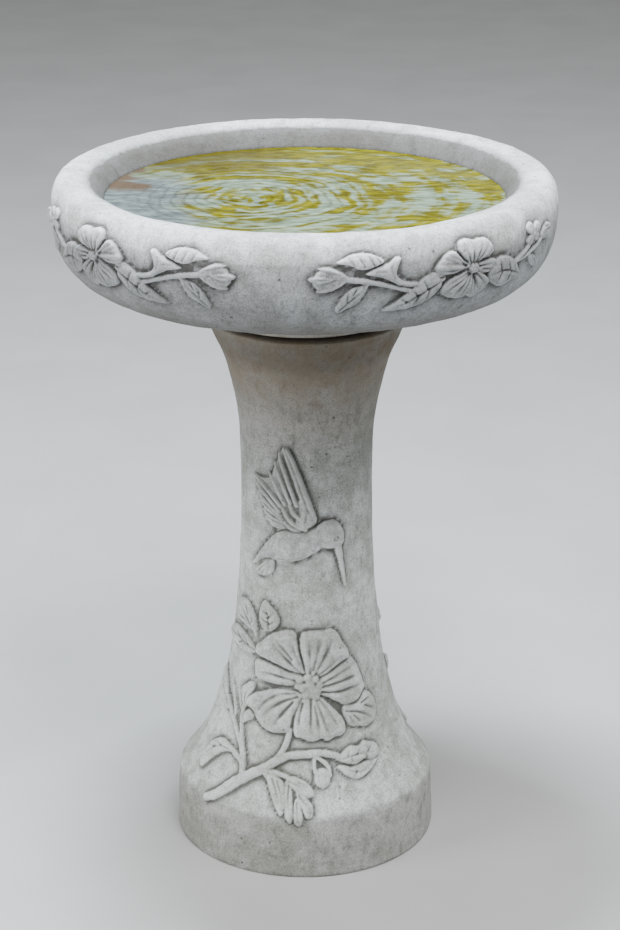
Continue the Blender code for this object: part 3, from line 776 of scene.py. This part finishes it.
def stone_material(name, pale, deep, wash, shade_and_soil_colour, shade_and_soil, painted_light_by_height, edge_run):
    """Cast stone with its own colours.  A function wires the height-dependent brown, which paints shade and,
    on the pedestal's base, marks soil; the (height, brightness) pairs from the ground up paint light and
    shade into the colour, and their edges wander by about `edge_run`."""
    material, shader, w = new_material(name)
    coords = w.node("ShaderNodeTexCoord").outputs["Object"]
    stone = w.node("ShaderNodeGroup", {"node_tree": cast_stone}, Vector=coords, Pale=pale, Deep=deep,
                   Wash=wash, Soil=shade_and_soil_colour)
    for socket, attribute in (("Hollow", "hollow"), ("Proud", "proud")):
        reader = w.node("ShaderNodeAttribute", {"attribute_name": attribute})
        w.feed(stone.inputs[socket], reader.outputs["Fac"])
    height = w.node("ShaderNodeSeparateXYZ", None, Vector=coords).outputs["Z"]
    # Brown by height: painted shade, and on the pedestal's base some soil.
    w.feed(stone.inputs["ShadeAndSoil"], shade_and_soil(w, height))
    # Brightness by height with ragged edges: painted light and shade.
    ragged = w.math("ADD", w.noise(coords, 26.0, 4.0, 0.6), -0.5)
    level = w.math("ADD", height, w.math("MULTIPLY", ragged, edge_run))
    curve = w.node("ShaderNodeFloatCurve", None, Value=w.ramp_line(level, painted_light_by_height[0][0], painted_light_by_height[-1][0]))
    points = curve.mapping.curves[0].points
    for _ in painted_light_by_height[2:]:
        points.new(0.5, 0.5)
    for point, (level, tone) in zip(points, painted_light_by_height):
        point.location = ((level - painted_light_by_height[0][0]) / (painted_light_by_height[-1][0] - painted_light_by_height[0][0]), tone / 2)
    curve.mapping.update()
    w.feed(stone.inputs["PaintedLightAndShade"], w.math("MULTIPLY", curve.outputs["Value"], 2.0))
    bump = w.node("ShaderNodeBump", None, Strength=0.55, Distance=0.0009, Height=stone.outputs["Height"])
    w.feed(shader.inputs["Base Color"], stone.outputs["Colour"])
    w.feed(shader.inputs["Roughness"], stone.outputs["Roughness"])
    w.feed(shader.inputs["Normal"], bump.outputs["Normal"])
    shader.inputs["Specular IOR Level"].default_value = 0.3
    return material


def pedestal_shade_and_soil(w, height):
    """Brown painted shade on the sheltered neck under the bowl, and a little soil on the base."""
    neck = w.ramp(height, 0.37, 0.505, 0.0, 0.92)
    base = w.ramp(height, 0.066, 0.052, 0.0, 0.18)
    return w.math("MAXIMUM", neck, base)


# Brightness by height paints light and shade: a lit shoulder and lower column, and a darker upper column and
# neck in the bowl's shadow.
pedestal_finish = stone_material(
    "pedestal_cast_stone", pale=(0.53, 0.545, 0.54, 1), deep=(0.33, 0.34, 0.315, 1),
    wash=(0.055, 0.054, 0.045, 1), shade_and_soil_colour=(0.25, 0.19, 0.12, 1), shade_and_soil=pedestal_shade_and_soil,
    painted_light_by_height=((0.0, 1.00), (0.058, 1.06), (0.065, 1.52), (0.11, 1.56), (0.17, 1.38), (0.26, 1.36), (0.35, 1.04),
           (0.42, 0.67), (0.48, 0.53), (0.505, 0.37), (0.525, 0.66)), edge_run=0.013,
)
pedestal.data.materials.append(pedestal_finish)
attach(pedestal, "pedestal")
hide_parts("pedestal")

# --- Bird and flower relief ----------------------------------------------------
# Raised out of the pedestal's side in the same casting: on the front and the
# back, a bird that hovers over a large five-petalled flower, stems and buds.
for index, turn in enumerate(MOTIF_TURNS):
    for label, carving in (("bird", bird), ("flower", flower)):
        def place(s, z, rise, turn=turn):
            """Places on the pedestal's side, counted from this motif's middle."""
            return leaned(on_side(pedestal_side, turn, 1, None, s, z, rise))
        relief = mesh_from_carving(f"{label}_relief_{index + 1}", carving, place, False)
        relief.data.materials.append(pedestal_finish)
        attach(relief, "pedestal")
        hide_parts("pedestal")

# --- Seat pads -------------------------------------------------------------------
# Three discs of black bearing rubber, laid on the pedestal's head under the
# bowl's foot ring.  They turn with the bowl.
rubber, rubber_shader, w = new_material("pad_rubber_finish")
coords = w.node("ShaderNodeTexCoord").outputs["Object"]
bloom = w.noise(coords, 160.0, 3.0, 0.6)
w.feed(rubber_shader.inputs["Base Color"], w.mix(w.ramp(bloom, 0.35, 0.75), (0.018, 0.018, 0.019, 1),
                                                 (0.060, 0.058, 0.052, 1)))
w.feed(rubber_shader.inputs["Roughness"], w.ramp(bloom, 0.2, 0.8, 0.6, 0.85))
grip = w.node("ShaderNodeBump", None, Strength=0.3, Distance=0.0003, Height=w.noise(coords, 1800.0))
w.feed(rubber_shader.inputs["Normal"], grip.outputs["Normal"])
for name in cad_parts:
    if name.startswith("seat_pad"):
        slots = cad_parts[name].data.materials
        slots.clear()
        slots.append(rubber)

# --- Bowl --------------------------------------------------------------------------
# One casting that lifts off: rolled rim, dished basin, bellied side, foot ring
# and a spigot that drops into the pedestal's socket.
CREST_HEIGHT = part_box("bowl")[1][2] - 0.0005
BOWL_RADIUS = 0.2285
BELLY_HEIGHT = 0.628
CREST_RADIUS = 0.2130
BELLY_INSET = 0.0888
BELLY_DROP = 0.073
WATER_LINE = 0.634
DISH_RADIUS = 0.181
DISH_DEPTH = 0.059
FOOT_RADIUS = 0.088
FOOT_BOTTOM = 0.5255
FOOT_TOP = 0.5385
SPIGOT_RADIUS = 0.045
SPIGOT_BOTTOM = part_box("bowl")[0][2]
BOWL_COLUMNS = 480
SPRAY_ARC = 0.2265          # radius that lengths along the sprays are measured at


def quarter(centre, reach, exponent, start, stop, steps):
    """A quarter superellipse: centre + reach * (cos^(2/n), sin^(2/n)) of the
    angle, where 0 degrees points outwards and 90 along the second reach."""
    angle = np.radians(np.linspace(start, stop, steps + 1))
    return np.stack([
        centre[0] + reach[0] * np.clip(np.cos(angle), 0, 1) ** (2 / exponent),
        centre[1] + reach[1] * np.clip(np.sin(angle), 0, 1) ** (2 / exponent),
    ], axis=-1)


dish = quarter((0, WATER_LINE), (DISH_RADIUS, -DISH_DEPTH), 2.6, 88, 0, 46)
lip = smooth_path(((0.1810, 0.6345), (0.1840, 0.6398), (0.1866, 0.6440), (0.1893, 0.6474), (0.1932, 0.6501),
                   (0.1985, 0.6522), (0.2050, 0.6538), (CREST_RADIUS, CREST_HEIGHT)), 5)
rim = quarter((CREST_RADIUS, BELLY_HEIGHT), (BOWL_RADIUS - CREST_RADIUS, CREST_HEIGHT - BELLY_HEIGHT),
              2.4, 90, 0, 22)
belly = quarter((BOWL_RADIUS - BELLY_INSET, BELLY_HEIGHT), (BELLY_INSET, -BELLY_DROP), 2.65, 0, 90, 52)
under = smooth_path(((0.1397, 0.5550), (0.1160, 0.5490), (0.0950, 0.5420), (FOOT_RADIUS, FOOT_TOP)), 6)
foot = spaced(((FOOT_RADIUS, FOOT_TOP), (FOOT_RADIUS, FOOT_BOTTOM + 0.001),
               (FOOT_RADIUS - 0.001, FOOT_BOTTOM),
               (SPIGOT_RADIUS + 0.001, FOOT_BOTTOM), (SPIGOT_RADIUS, FOOT_BOTTOM - 0.001),
               (SPIGOT_RADIUS - 0.002, SPIGOT_BOTTOM + 0.001), (SPIGOT_RADIUS - 0.003, SPIGOT_BOTTOM),
               (0.004, SPIGOT_BOTTOM)), 0.006)
bowl_outline = np.concatenate([dish, lip[1:], rim[1:], belly[1:], under[1:], foot[1:]])
bowl_side = np.concatenate([rim[1:], belly[1:-1]])


def capped(grid, start_height, end_height):
    """Points and faces of a turned grid closed by a point on the axis at each end."""
    rows, columns = grid.shape[:2]
    points = np.concatenate([grid.reshape(-1, 3), [(0, 0, start_height), (0, 0, end_height)]])
    col = np.arange(columns)
    right = (col + 1) % columns
    last_row = (rows - 1) * columns
    start = np.stack([col, right, np.full(columns, len(points) - 2)], axis=-1)
    end = np.stack([last_row + right, last_row + col, np.full(columns, len(points) - 1)], axis=-1)
    return points, [ring_quads(rows, columns, False), start, end]


spray = Carving(-4, 308, 583, 650, 0.75)
SHIFT = 26.5                # from the line that the sprays mirror about to the drawing's zero


def drawn(points):
    """Places of the spray's drawing, counted from the mirror line."""
    return tuple((s + SHIFT, z) for s, z in points)


def spray_lobe(outline, rise, grooves=(), **shape):
    """A lobe of the spray, its places counted from the mirror line."""
    spray.lobe(drawn(outline), rise, grooves=[drawn(groove) for groove in grooves], **shape)


SPRAY_STRANDS = (
    (((24, 624), (38, 620.5), (50, 618.5), (60, 616.3), (70, 613.4), (82, 609.5), (94, 606)),
     (3.2, 2.6, 2.4, 2.4, 2.4), 4.2),
    (((74, 620), (79, 616), (86, 613.4), (97, 612)), (3.2, 2.6, 2.2), 4.2),
    (((52, 617), (49, 612), (46, 608)), (1.8, 1.4), 3.2),
    (((198, 612), (206, 614.5), (214, 617), (222, 621), (229, 627)), (2.4, 2.2, 2.0), 3.4),
    (((205, 613), (216, 613.5), (228, 616.5), (240, 619), (252, 624)), (2.0, 2.0, 1.8), 3.0),
    (((200, 611), (205, 605), (209, 600)), (1.8, 1.5), 2.8),
    (((222, 615.5), (228, 612), (234, 607)), (1.6, 1.3), 2.6),
)
for path, widths, rise in SPRAY_STRANDS:
    spray.strand(drawn(path), widths, rise)
SPRAY_LOBES = (
    # upper leaf with slanting veins
    (((26, 635), (32, 639), (40, 642), (50, 642), (59, 639.5), (66, 635), (61, 631.5), (52, 628.5), (44, 629),
      (38, 632), (31, 633.5)), 4.4,
     (((35, 640), (41, 632)), ((43, 641.5), (49, 631)), ((51, 641), (57, 632)), ((58, 639), (62, 634)))),
    # lower leaf
    (((53, 617), (46, 616), (39, 613.5), (33, 609), (29, 603), (25, 596), (27.5, 591), (35, 594.5),
      (42, 598.5),
      (47.5, 603.5), (51, 610)), 3.4,
     (((50, 613), (40, 604.5), (29, 594.5)), ((44, 614), (40, 608)), ((36, 610), (35, 602)))),
    # small leaf and long ribbed leaf before the flower
    (((97, 611), (101, 617), (109, 620.5), (118, 619.5), (122, 613), (114, 609), (105, 608)), 3.8,
     (((99, 613), (108, 615), (119, 615)), ((106, 619.5), (110, 615)))),
    (((65, 591), (76, 590.5), (87, 591), (98, 593), (107, 597), (114, 603), (118, 610), (114, 617),
      (106, 619),
      (98, 616), (90, 610.5), (82, 603.5), (73, 596.5)), 5.2,
     (((67, 592), (84, 597.5), (100, 605), (115, 612)), ((80, 601.5), (86, 598.5)), ((89, 609.5), (95, 603)),
      ((99, 616.5), (104, 607.5)), ((90, 591.5), (97, 603)), ((102, 594.5), (106, 607.5)))),
    # leaf past the flower
    (((167, 611), (173, 619.5), (182, 622.5), (192, 620.5), (201, 615.5), (206, 609), (212, 602),
      (206, 597.5),
      (197, 596), (187, 594), (178, 597), (169, 603)), 4.4,
     (((170, 608), (184, 609.5), (196, 607), (209, 601.5)), ((179, 619.5), (183, 610.5)),
      ((190, 619.5), (194, 609)), ((199, 614), (202, 606)), ((179, 599), (184, 608)),
      ((191, 597), (196, 606)))),
    # leaf on the last stem, and the last bud
    (((223, 617), (230, 614), (238, 610), (245, 603), (241, 599), (232, 602.5), (225, 608.5)), 3.2,
     (((225, 614), (234, 608), (242, 602)),)),
    (((247, 624), (251, 630), (260, 633.5), (269, 631.5), (272, 626), (266, 620.5), (256, 619.5)), 4.0,
     (((251, 626), (261, 627.5), (269, 627)), ((255, 631), (262, 630)))),
)
for outline, rise, grooves in SPRAY_LOBES:
    spray_lobe(outline, rise, grooves, edge=1.8, swell=5, cut=(1.2, 1.9))
# trumpet flower on its stalk
spray_lobe(((50, 624.5), (56, 628.5), (63, 631), (70, 634), (76, 637.5), (80.5, 636), (78, 630), (76.5, 624),
                  (80, 617.5), (84, 614), (78, 613), (71, 617), (64, 620.5), (56, 622.5)), 5.4,
           (((75, 635), (71, 628), (74, 620)), ((55, 626), (66, 626.5))), edge=2.2, swell=5, cut=(1.3, 1.5))
# end bud: overlapping pointed scales round a core
for outline, rise, grooves in (
    (((6, 620), (9, 627), (16, 631), (24, 630), (31, 626), (36, 622), (31, 618), (24, 613), (15, 611.5),
      (9, 614)),
     3.6, (((8, 622), (18, 622.5), (31, 622)),)),
    (((3, 621.5), (8, 625), (16, 625.5), (25, 622.5), (19, 619), (10, 618)), 5.9, (((5, 621.5), (20, 622)),)),
    (((10, 631), (20, 632), (29, 628.5), (36, 623), (27, 623), (18, 627)), 5.2, (((13, 630), (29, 625.5)),)),
    (((9, 611), (19, 610.5), (27, 613.5), (36, 621), (26, 620), (17, 616.5)), 4.8,
     (((12, 612.5), (29, 618.5)),)),
):
    spray_lobe(outline, rise, grooves, edge=1.3, swell=3, cut=(1.0, 1.7))
SPRAY_PETALS = (
    (((149, 618), (154, 621.5), (162, 622.5), (170, 623), (177, 620), (173, 614), (165, 611), (156, 613)),
     4.6,
     (((174, 618), (164, 618.5), (155, 618)), ((170, 614), (160, 615.5)))),
    (((147, 620), (139, 618), (131, 616.5), (121, 616.5), (113, 618.5), (111, 624), (115, 629.5),
      (121, 634.5),
      (128, 636), (134, 632), (140, 626)), 5.4,
     (((115, 627), (128, 625), (142, 620.5)), ((114, 621), (127, 619.5), (141, 619)),
      ((124, 633), (133, 628), (142, 622)),
      ((118, 631), (130, 626.5), (142, 621.5)))),
    (((148, 616), (138, 615.5), (128, 613.5), (120, 608.5), (117, 602), (123, 597), (131, 594), (139, 592.5),
      (145, 595.5), (148, 604)), 5.4,
     (((121, 602), (133, 608), (146, 614)), ((129, 596.5), (138, 605), (146, 613)),
      ((138, 594.5), (143, 604), (148, 612)),
      ((122, 608), (134, 612), (144, 615)))),
    (((148, 616), (145, 607), (142, 599), (146, 593.5), (153, 591), (159, 594), (166, 597.5), (169, 604),
      (164, 609.5), (156, 614.5)), 5.4,
     (((148, 594), (149, 604), (150, 613)), ((157, 595), (153.5, 605), (151, 613)),
      ((166, 600), (159, 607), (152, 614)),
      ((153, 593), (152, 603), (151, 612)))),
    (((147, 619), (143, 625), (137, 630), (132.5, 637), (134, 642.5), (141, 644), (148, 642), (155, 642.5),
      (163, 641), (170, 635.5), (172, 629.5), (167, 626), (159, 623), (153, 619)), 5.8,
     (((146, 641), (148, 630), (150, 621)), ((157, 641), (154, 630), (151.5, 621)),
      ((165, 638), (158, 629), (152.5, 621)),
      ((137, 639), (143, 630), (148, 621.5)), ((170, 631), (162, 626), (153.5, 620.5)))),
)
for outline, rise, grooves in SPRAY_PETALS:
    spray_lobe(outline, rise, grooves, edge=1.7, swell=5, sag=0.3, root=(150 + SHIFT, 618), reach=18,
               low=0.45, cut=(1.3, 2.1))
for step in range(6):
    angle = step * math.pi / 3
    spray.bead((150 + SHIFT + 3.2 * math.cos(angle), 618 + 2.6 * math.sin(angle)), 2.3, 4.6)
spray.bead((150 + SHIFT, 618), 2.4, 5.2)
# small flower of four petals at the end of the first side stem
for outline in (((230, 630), (224, 632), (220, 637), (224, 641.5), (231, 640), (233, 634)),
                ((231, 631), (233, 637), (239, 640), (245, 637), (244, 631), (237, 629)),
                ((231, 632), (226, 631), (220, 627), (223, 621.5), (230, 622), (232, 627)),
                ((230, 631), (232, 625), (237, 622.5), (242, 626.5), (240, 631))):
    spray_lobe(outline, 4.0, edge=1.8, sag=0.6)
spray.bead((231 + SHIFT, 631), 2.2, 4.4)
spray.finish(0.45, 4.2)

# azimuth of each mirror line, and the way the spray runs from it
SPRAY_PLACES = tuple((turn, hand) for turn in (-6.7, 173.3) for hand in (1, -1))
# Darkening round the sprays: partly dark wash, partly painted shade.
bowl_halo = halo_round((spray,), SPRAY_PLACES, bowl_outline, BOWL_COLUMNS, SPRAY_ARC)
inner_rows = len(dish) + len(lip) - 1
# Painted shade on the inner wall: full dark wash from just below the lip down into the basin.
inner_wall_painted_shade = ease((0.6536 - bowl_outline[:inner_rows, 1]) / 0.0070) * 2.0
bowl_halo[:inner_rows] = inner_wall_painted_shade[:, None]
bowl_amount = np.ones(len(bowl_outline))
bowl_amount[-len(foot):] = 0
bowl_grid = wobbled(turned_points(bowl_outline, BOWL_COLUMNS), bowl_outline, False, bowl_amount)
bowl_points, bowl_faces = capped(bowl_grid, bowl_outline[0, 1], bowl_outline[-1, 1])
bowl_hollow = np.concatenate([bowl_halo.ravel(), bowl_halo[0, :1], bowl_halo[-1, :1]])
bowl = make_mesh("bowl_stone_body", bowl_points, bowl_faces,
                 {"hollow": bowl_hollow, "proud": np.zeros_like(bowl_hollow)})


def bowl_painted_shade(w, height):
    """Brown painted shade on the sheltered underside."""
    return w.ramp(height, 0.590, 0.550, 0.0, 0.75)


# Brightness by height paints light and shade: a dark underside and a bright lit rim top.
bowl_finish = stone_material(
    "bowl_cast_stone", pale=(0.575, 0.595, 0.615, 1), deep=(0.385, 0.392, 0.385, 1),
    wash=(0.054, 0.050, 0.043, 1), shade_and_soil_colour=(0.26, 0.21, 0.145, 1), shade_and_soil=bowl_painted_shade,
    painted_light_by_height=((0.50, 0.90), (0.538, 0.90), (0.547, 0.42), (0.556, 0.32), (0.568, 0.35), (0.580, 0.48),
           (0.600, 0.66),
           (0.620, 0.84), (0.631, 1.15), (0.640, 1.80), (0.655, 1.84)), edge_run=0.006,
)
bowl.data.materials.append(bowl_finish)
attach(bowl, "bowl")
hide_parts("bowl")

# --- Bowl sprays ---------------------------------------------------------------------
# Four flower sprays raised out of the bowl's side in the same casting, two on
# each half, the second of each pair a mirror of the first.
for index, (turn, hand) in enumerate(SPRAY_PLACES):
    def place(s, z, rise, turn=turn, hand=hand):
        """Places on the bowl's side, counted from this spray's mirror line."""
        return on_side(bowl_side, turn, hand, SPRAY_ARC, s, z, rise)
    relief = mesh_from_carving(f"bowl_spray_{index + 1}", spray, place, hand < 0)
    relief.data.materials.append(bowl_finish)
    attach(relief, "bowl")
    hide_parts("bowl")

# --- Water --------------------------------------------------------------------------
# The basin holds water up to its wall's foot, with rings spreading from a drop
# left of the middle.  It moves with the bowl.
WATER_RINGS = 110
WATER_COLUMNS = 360
DROP = (-0.048, -0.012)     # where the rings spread from


def water_level(x, y):
    """Height of the water: rings of 11 mm that fade with distance from the drop,
    a second faint set from the wall, slow swell, and a curl up at the wall."""
    gap = np.hypot(x - DROP[0], y - DROP[1])
    rings = 0.00034 * np.sin(2 * math.pi * gap / 0.0115) * np.exp(-gap / 0.085)
    second = np.hypot(x - 0.145, y - 0.075)
    rings = rings + 0.00012 * np.sin(2 * math.pi * second / 0.017)
    place = np.stack([x, y, 0 * x], axis=-1)
    swell = 0.00022 * lumps(place * (1, 1.6, 1), 0.030, 11) + 0.00010 * lumps(place * (1, 2.0, 1), 0.011, 13)
    radius = np.hypot(x, y)
    curl = 0.0009 * np.exp(-(DISH_RADIUS - radius) / 0.0016)
    return WATER_LINE - 0.0009 + rings + swell + curl


reach = (DISH_RADIUS + 0.0004) * np.linspace(0, 1, WATER_RINGS + 1)[1:]
water_azimuth = 2 * math.pi * np.arange(WATER_COLUMNS) / WATER_COLUMNS
wx, wy = reach[:, None] * np.sin(water_azimuth), -reach[:, None] * np.cos(water_azimuth)
surface = np.stack([wx, wy, water_level(wx, wy)], axis=-1)
bed_reach = reach[::-8]
bed_depth = DISH_DEPTH * np.clip(1 - (bed_reach / (DISH_RADIUS + 0.0008)) ** 2.6, 0, 1) ** (1 / 2.6) - 0.0008
bed = np.stack([bed_reach[:, None] * np.sin(water_azimuth), -bed_reach[:, None] * np.cos(water_azimuth),
                np.repeat((WATER_LINE - 0.0015 - np.maximum(bed_depth, 0.0005))[:, None], WATER_COLUMNS,
                          1)], axis=-1)
middle_level = float(water_level(np.zeros(1), np.zeros(1))[0])
water_points, water_faces = capped(np.concatenate([surface, bed]), middle_level, float(bed[-1, 0, 2]))
water = make_mesh("water", water_points, water_faces)

# The water's colour paints reflections and shade in the water itself.
water_finish, water_shader, w = new_material("pond_water")
coords = w.node("ShaderNodeTexCoord").outputs["Object"]
bend = w.node("ShaderNodeTexNoise", None, Vector=w.stretched(coords, (1.0, 1.5, 1.0)), Scale=14.0, Detail=2.0)
bent = w.node("ShaderNodeVectorMath", {"operation": "MULTIPLY_ADD"})
w.feed(bent.inputs[0], bend.outputs["Color"])
w.feed(bent.inputs[1], (0.026, 0.020, 0.0))
w.feed(bent.inputs[2], coords)
from_drop = w.node("ShaderNodeVectorMath", {"operation": "SUBTRACT"})
w.feed(from_drop.inputs[0], bent.outputs[0])
w.feed(from_drop.inputs[1], (DROP[0] + 0.013, DROP[1] + 0.010, WATER_LINE))
length = w.node("ShaderNodeVectorMath", {"operation": "LENGTH"})
w.feed(length.inputs[0], from_drop.outputs[0])
gap = length.outputs["Value"]
heading = w.node("ShaderNodeVectorMath", {"operation": "NORMALIZE"})
w.feed(heading.inputs[0], from_drop.outputs[0])
round_drop = w.node("ShaderNodeVectorMath", {"operation": "MULTIPLY_ADD"})
w.feed(round_drop.inputs[0], heading.outputs[0])
w.feed(round_drop.inputs[1], (1.5, 1.5, 0.0))
w.feed(round_drop.inputs[2], w.node("ShaderNodeCombineXYZ", None, Z=w.math("MULTIPLY", gap, 80.0)).outputs[0])
arcs = w.noise(round_drop.outputs[0], 1.0, 3.0, 0.5)
ring = w.math("SINE", w.math("MULTIPLY", gap, 2 * math.pi / 0.0105))
near_drop = w.ramp(gap, 0.16, 0.04)
streaks = w.noise(w.stretched(bent.outputs[0], (15.0, 46.0, 1.0)), 1.0, 3.0, 0.5)
fine = w.noise(w.stretched(bent.outputs[0], (55.0, 150.0, 1.0)), 1.0, 3.0, 0.6)
arc_share = w.ramp(near_drop, 0.0, 1.0, 0.42, 0.86)
patch = w.math("ADD", w.math("MULTIPLY", arcs, arc_share),
               w.math("MULTIPLY", streaks, w.math("SUBTRACT", 1.0, arc_share)))
patch = w.math("ADD", patch, w.math("MULTIPLY", w.math("ADD", fine, -0.5), 0.16))
patch = w.math("ADD", patch, w.math("MULTIPLY", w.math("MULTIPLY", ring, near_drop), 0.030))
side = w.node("ShaderNodeSeparateXYZ", None, Vector=coords)
patch = w.math("SUBTRACT", patch, w.ramp(side.outputs["Y"], 0.050, 0.150, 0.0, 0.080))
patch = w.math("SUBTRACT", patch, w.ramp(side.outputs["X"], 0.030, 0.140, 0.0, 0.035))
# Painted reflections: olive-yellow of shrubs and pale green of sky, in streaks and in arcs round the drop.
shrub_reflection = w.mix(w.ramp(fine, 0.35, 0.65), (0.105, 0.093, 0.0, 1), (0.25, 0.235, 0.0, 1))
sky_reflection = w.mix(w.ramp(fine, 0.35, 0.65), (0.145, 0.200, 0.120, 1), (0.31, 0.40, 0.30, 1))
colour = w.mix(w.ramp(patch, 0.445, 0.56), shrub_reflection, sky_reflection)
left = w.math("ADD", side.outputs["X"], w.math("MULTIPLY", w.math("ADD", streaks, -0.5), 0.12))
# Painted shade over the back left of the water.
shaded_back = w.math("MULTIPLY", w.ramp(side.outputs["Y"], 0.050, 0.120),
                     w.ramp(left, 0.020, -0.080, 0.0, 0.75))
colour = w.mix(shaded_back, colour, (0.075, 0.058, 0.004, 1))
# Painted grey-blue reflection towards the left.
grey_blue_reflection = w.mix(w.ramp(fine, 0.35, 0.7), (0.115, 0.140, 0.145, 1), (0.25, 0.300, 0.285, 1))
grey_blue_reflection_place = w.math("MULTIPLY", w.ramp(left, -0.085, -0.125), w.ramp(side.outputs["Y"], 0.085, 0.045))
colour = w.mix(grey_blue_reflection_place, colour, grey_blue_reflection)
# Painted brown reflection at the left edge.
brown_reflection = w.math("MULTIPLY", w.ramp(left, -0.145, -0.162), w.ramp(side.outputs["Y"], 0.005, 0.030))
colour = w.mix(brown_reflection, colour, (0.12, 0.080, 0.050, 1))
# Painted shade in the ring troughs round the drop.
ring_trough_shade = w.ramp(w.math("MULTIPLY", ring, near_drop), -0.8, -0.1, 0.70, 1.0)
colour = w.mix(1.0, colour, w.grey(ring_trough_shade), "MULTIPLY")
w.feed(water_shader.inputs["Base Color"], colour)
w.feed(water_shader.inputs["Roughness"], w.ramp(fine, 0.2, 0.8, 0.03, 0.09))
ripple = w.node("ShaderNodeBump", None, Strength=0.5, Distance=0.0008,
                Height=w.math("ADD", fine, w.math("MULTIPLY", streaks, 1.4)))
w.feed(water_shader.inputs["Normal"], ripple.outputs["Normal"])
water_shader.inputs["IOR"].default_value = 1.333
water_shader.inputs["Specular IOR Level"].default_value = 0.3
water.data.materials.append(water_finish)
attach(water, "bowl")

# --- Floor, light and camera ----------------------------------------------------------
# A plain pale floor, broad soft lamps and a camera a little above the rim.
floor = make_mesh("floor", np.array([(-8, -6, 0), (8, -6, 0), (8, 12, 0), (-8, 12, 0)], float),
                  [np.array([(0, 1, 2, 3)])])
floor_finish, floor_shader, w = new_material("floor_finish")
grain = w.noise(w.node("ShaderNodeTexCoord").outputs["Object"], 6.0, 3.0)
w.feed(floor_shader.inputs["Base Color"], w.mix(w.ramp(grain, 0.3, 0.7), (0.62, 0.62, 0.61, 1),
                                                (0.66, 0.66, 0.65, 1)))
floor_shader.inputs["Roughness"].default_value = 0.9
floor.data.materials.append(floor_finish)


def soft_lamp(name, place, aim, size, power, colour):
    """A square area lamp that faces a point."""
    light = bpy.data.lights.new(name, "AREA")
    light.shape = "SQUARE"
    light.size = size
    light.energy = power
    light.color = colour
    lamp = bpy.data.objects.new(name, light)
    bpy.context.scene.collection.objects.link(lamp)
    lamp.location = place
    direction = np.subtract(aim, place)
    lamp.rotation_euler = (math.atan2(math.hypot(direction[0], direction[1]), -direction[2]), 0,
                           math.atan2(direction[0], -direction[1]) + math.pi)


soft_lamp("top_lamp", (-0.30, 0.30, 3.0), (0, 0, 0.5), 0.7, 120, (0.82, 0.91, 1.0))
soft_lamp("key_lamp", (0.45, -1.10, 2.7), (0, 0, 0.3), 0.9, 60, (0.96, 0.98, 1.0))
soft_lamp("left_lamp", (-2.5, -1.1, 1.0), (0, 0, 0.30), 1.4, 50, (0.98, 0.985, 1.0))
soft_lamp("right_lamp", (2.5, -0.9, 0.9), (0, 0, 0.25), 1.4, 12, (0.98, 0.985, 1.0))
world = bpy.data.worlds.new("studio")
world.use_nodes = True
world.node_tree.nodes["Background"].inputs["Color"].default_value = (0.90, 0.885, 0.85, 1)
world.node_tree.nodes["Background"].inputs["Strength"].default_value = 0.26
bpy.context.scene.world = world

CAMERA_PLACE = (0.0048, -2.1045, 1.1800)
CAMERA_PITCH = 21.01        # degrees below level
camera_data = bpy.data.cameras.new("camera")
camera_data.sensor_width = 36.0
camera_data.lens = 92.55
camera = bpy.data.objects.new("camera", camera_data)
bpy.context.scene.collection.objects.link(camera)
camera.location = CAMERA_PLACE
camera.rotation_euler = (math.radians(90 - CAMERA_PITCH), 0, 0)
bpy.context.scene.camera = camera
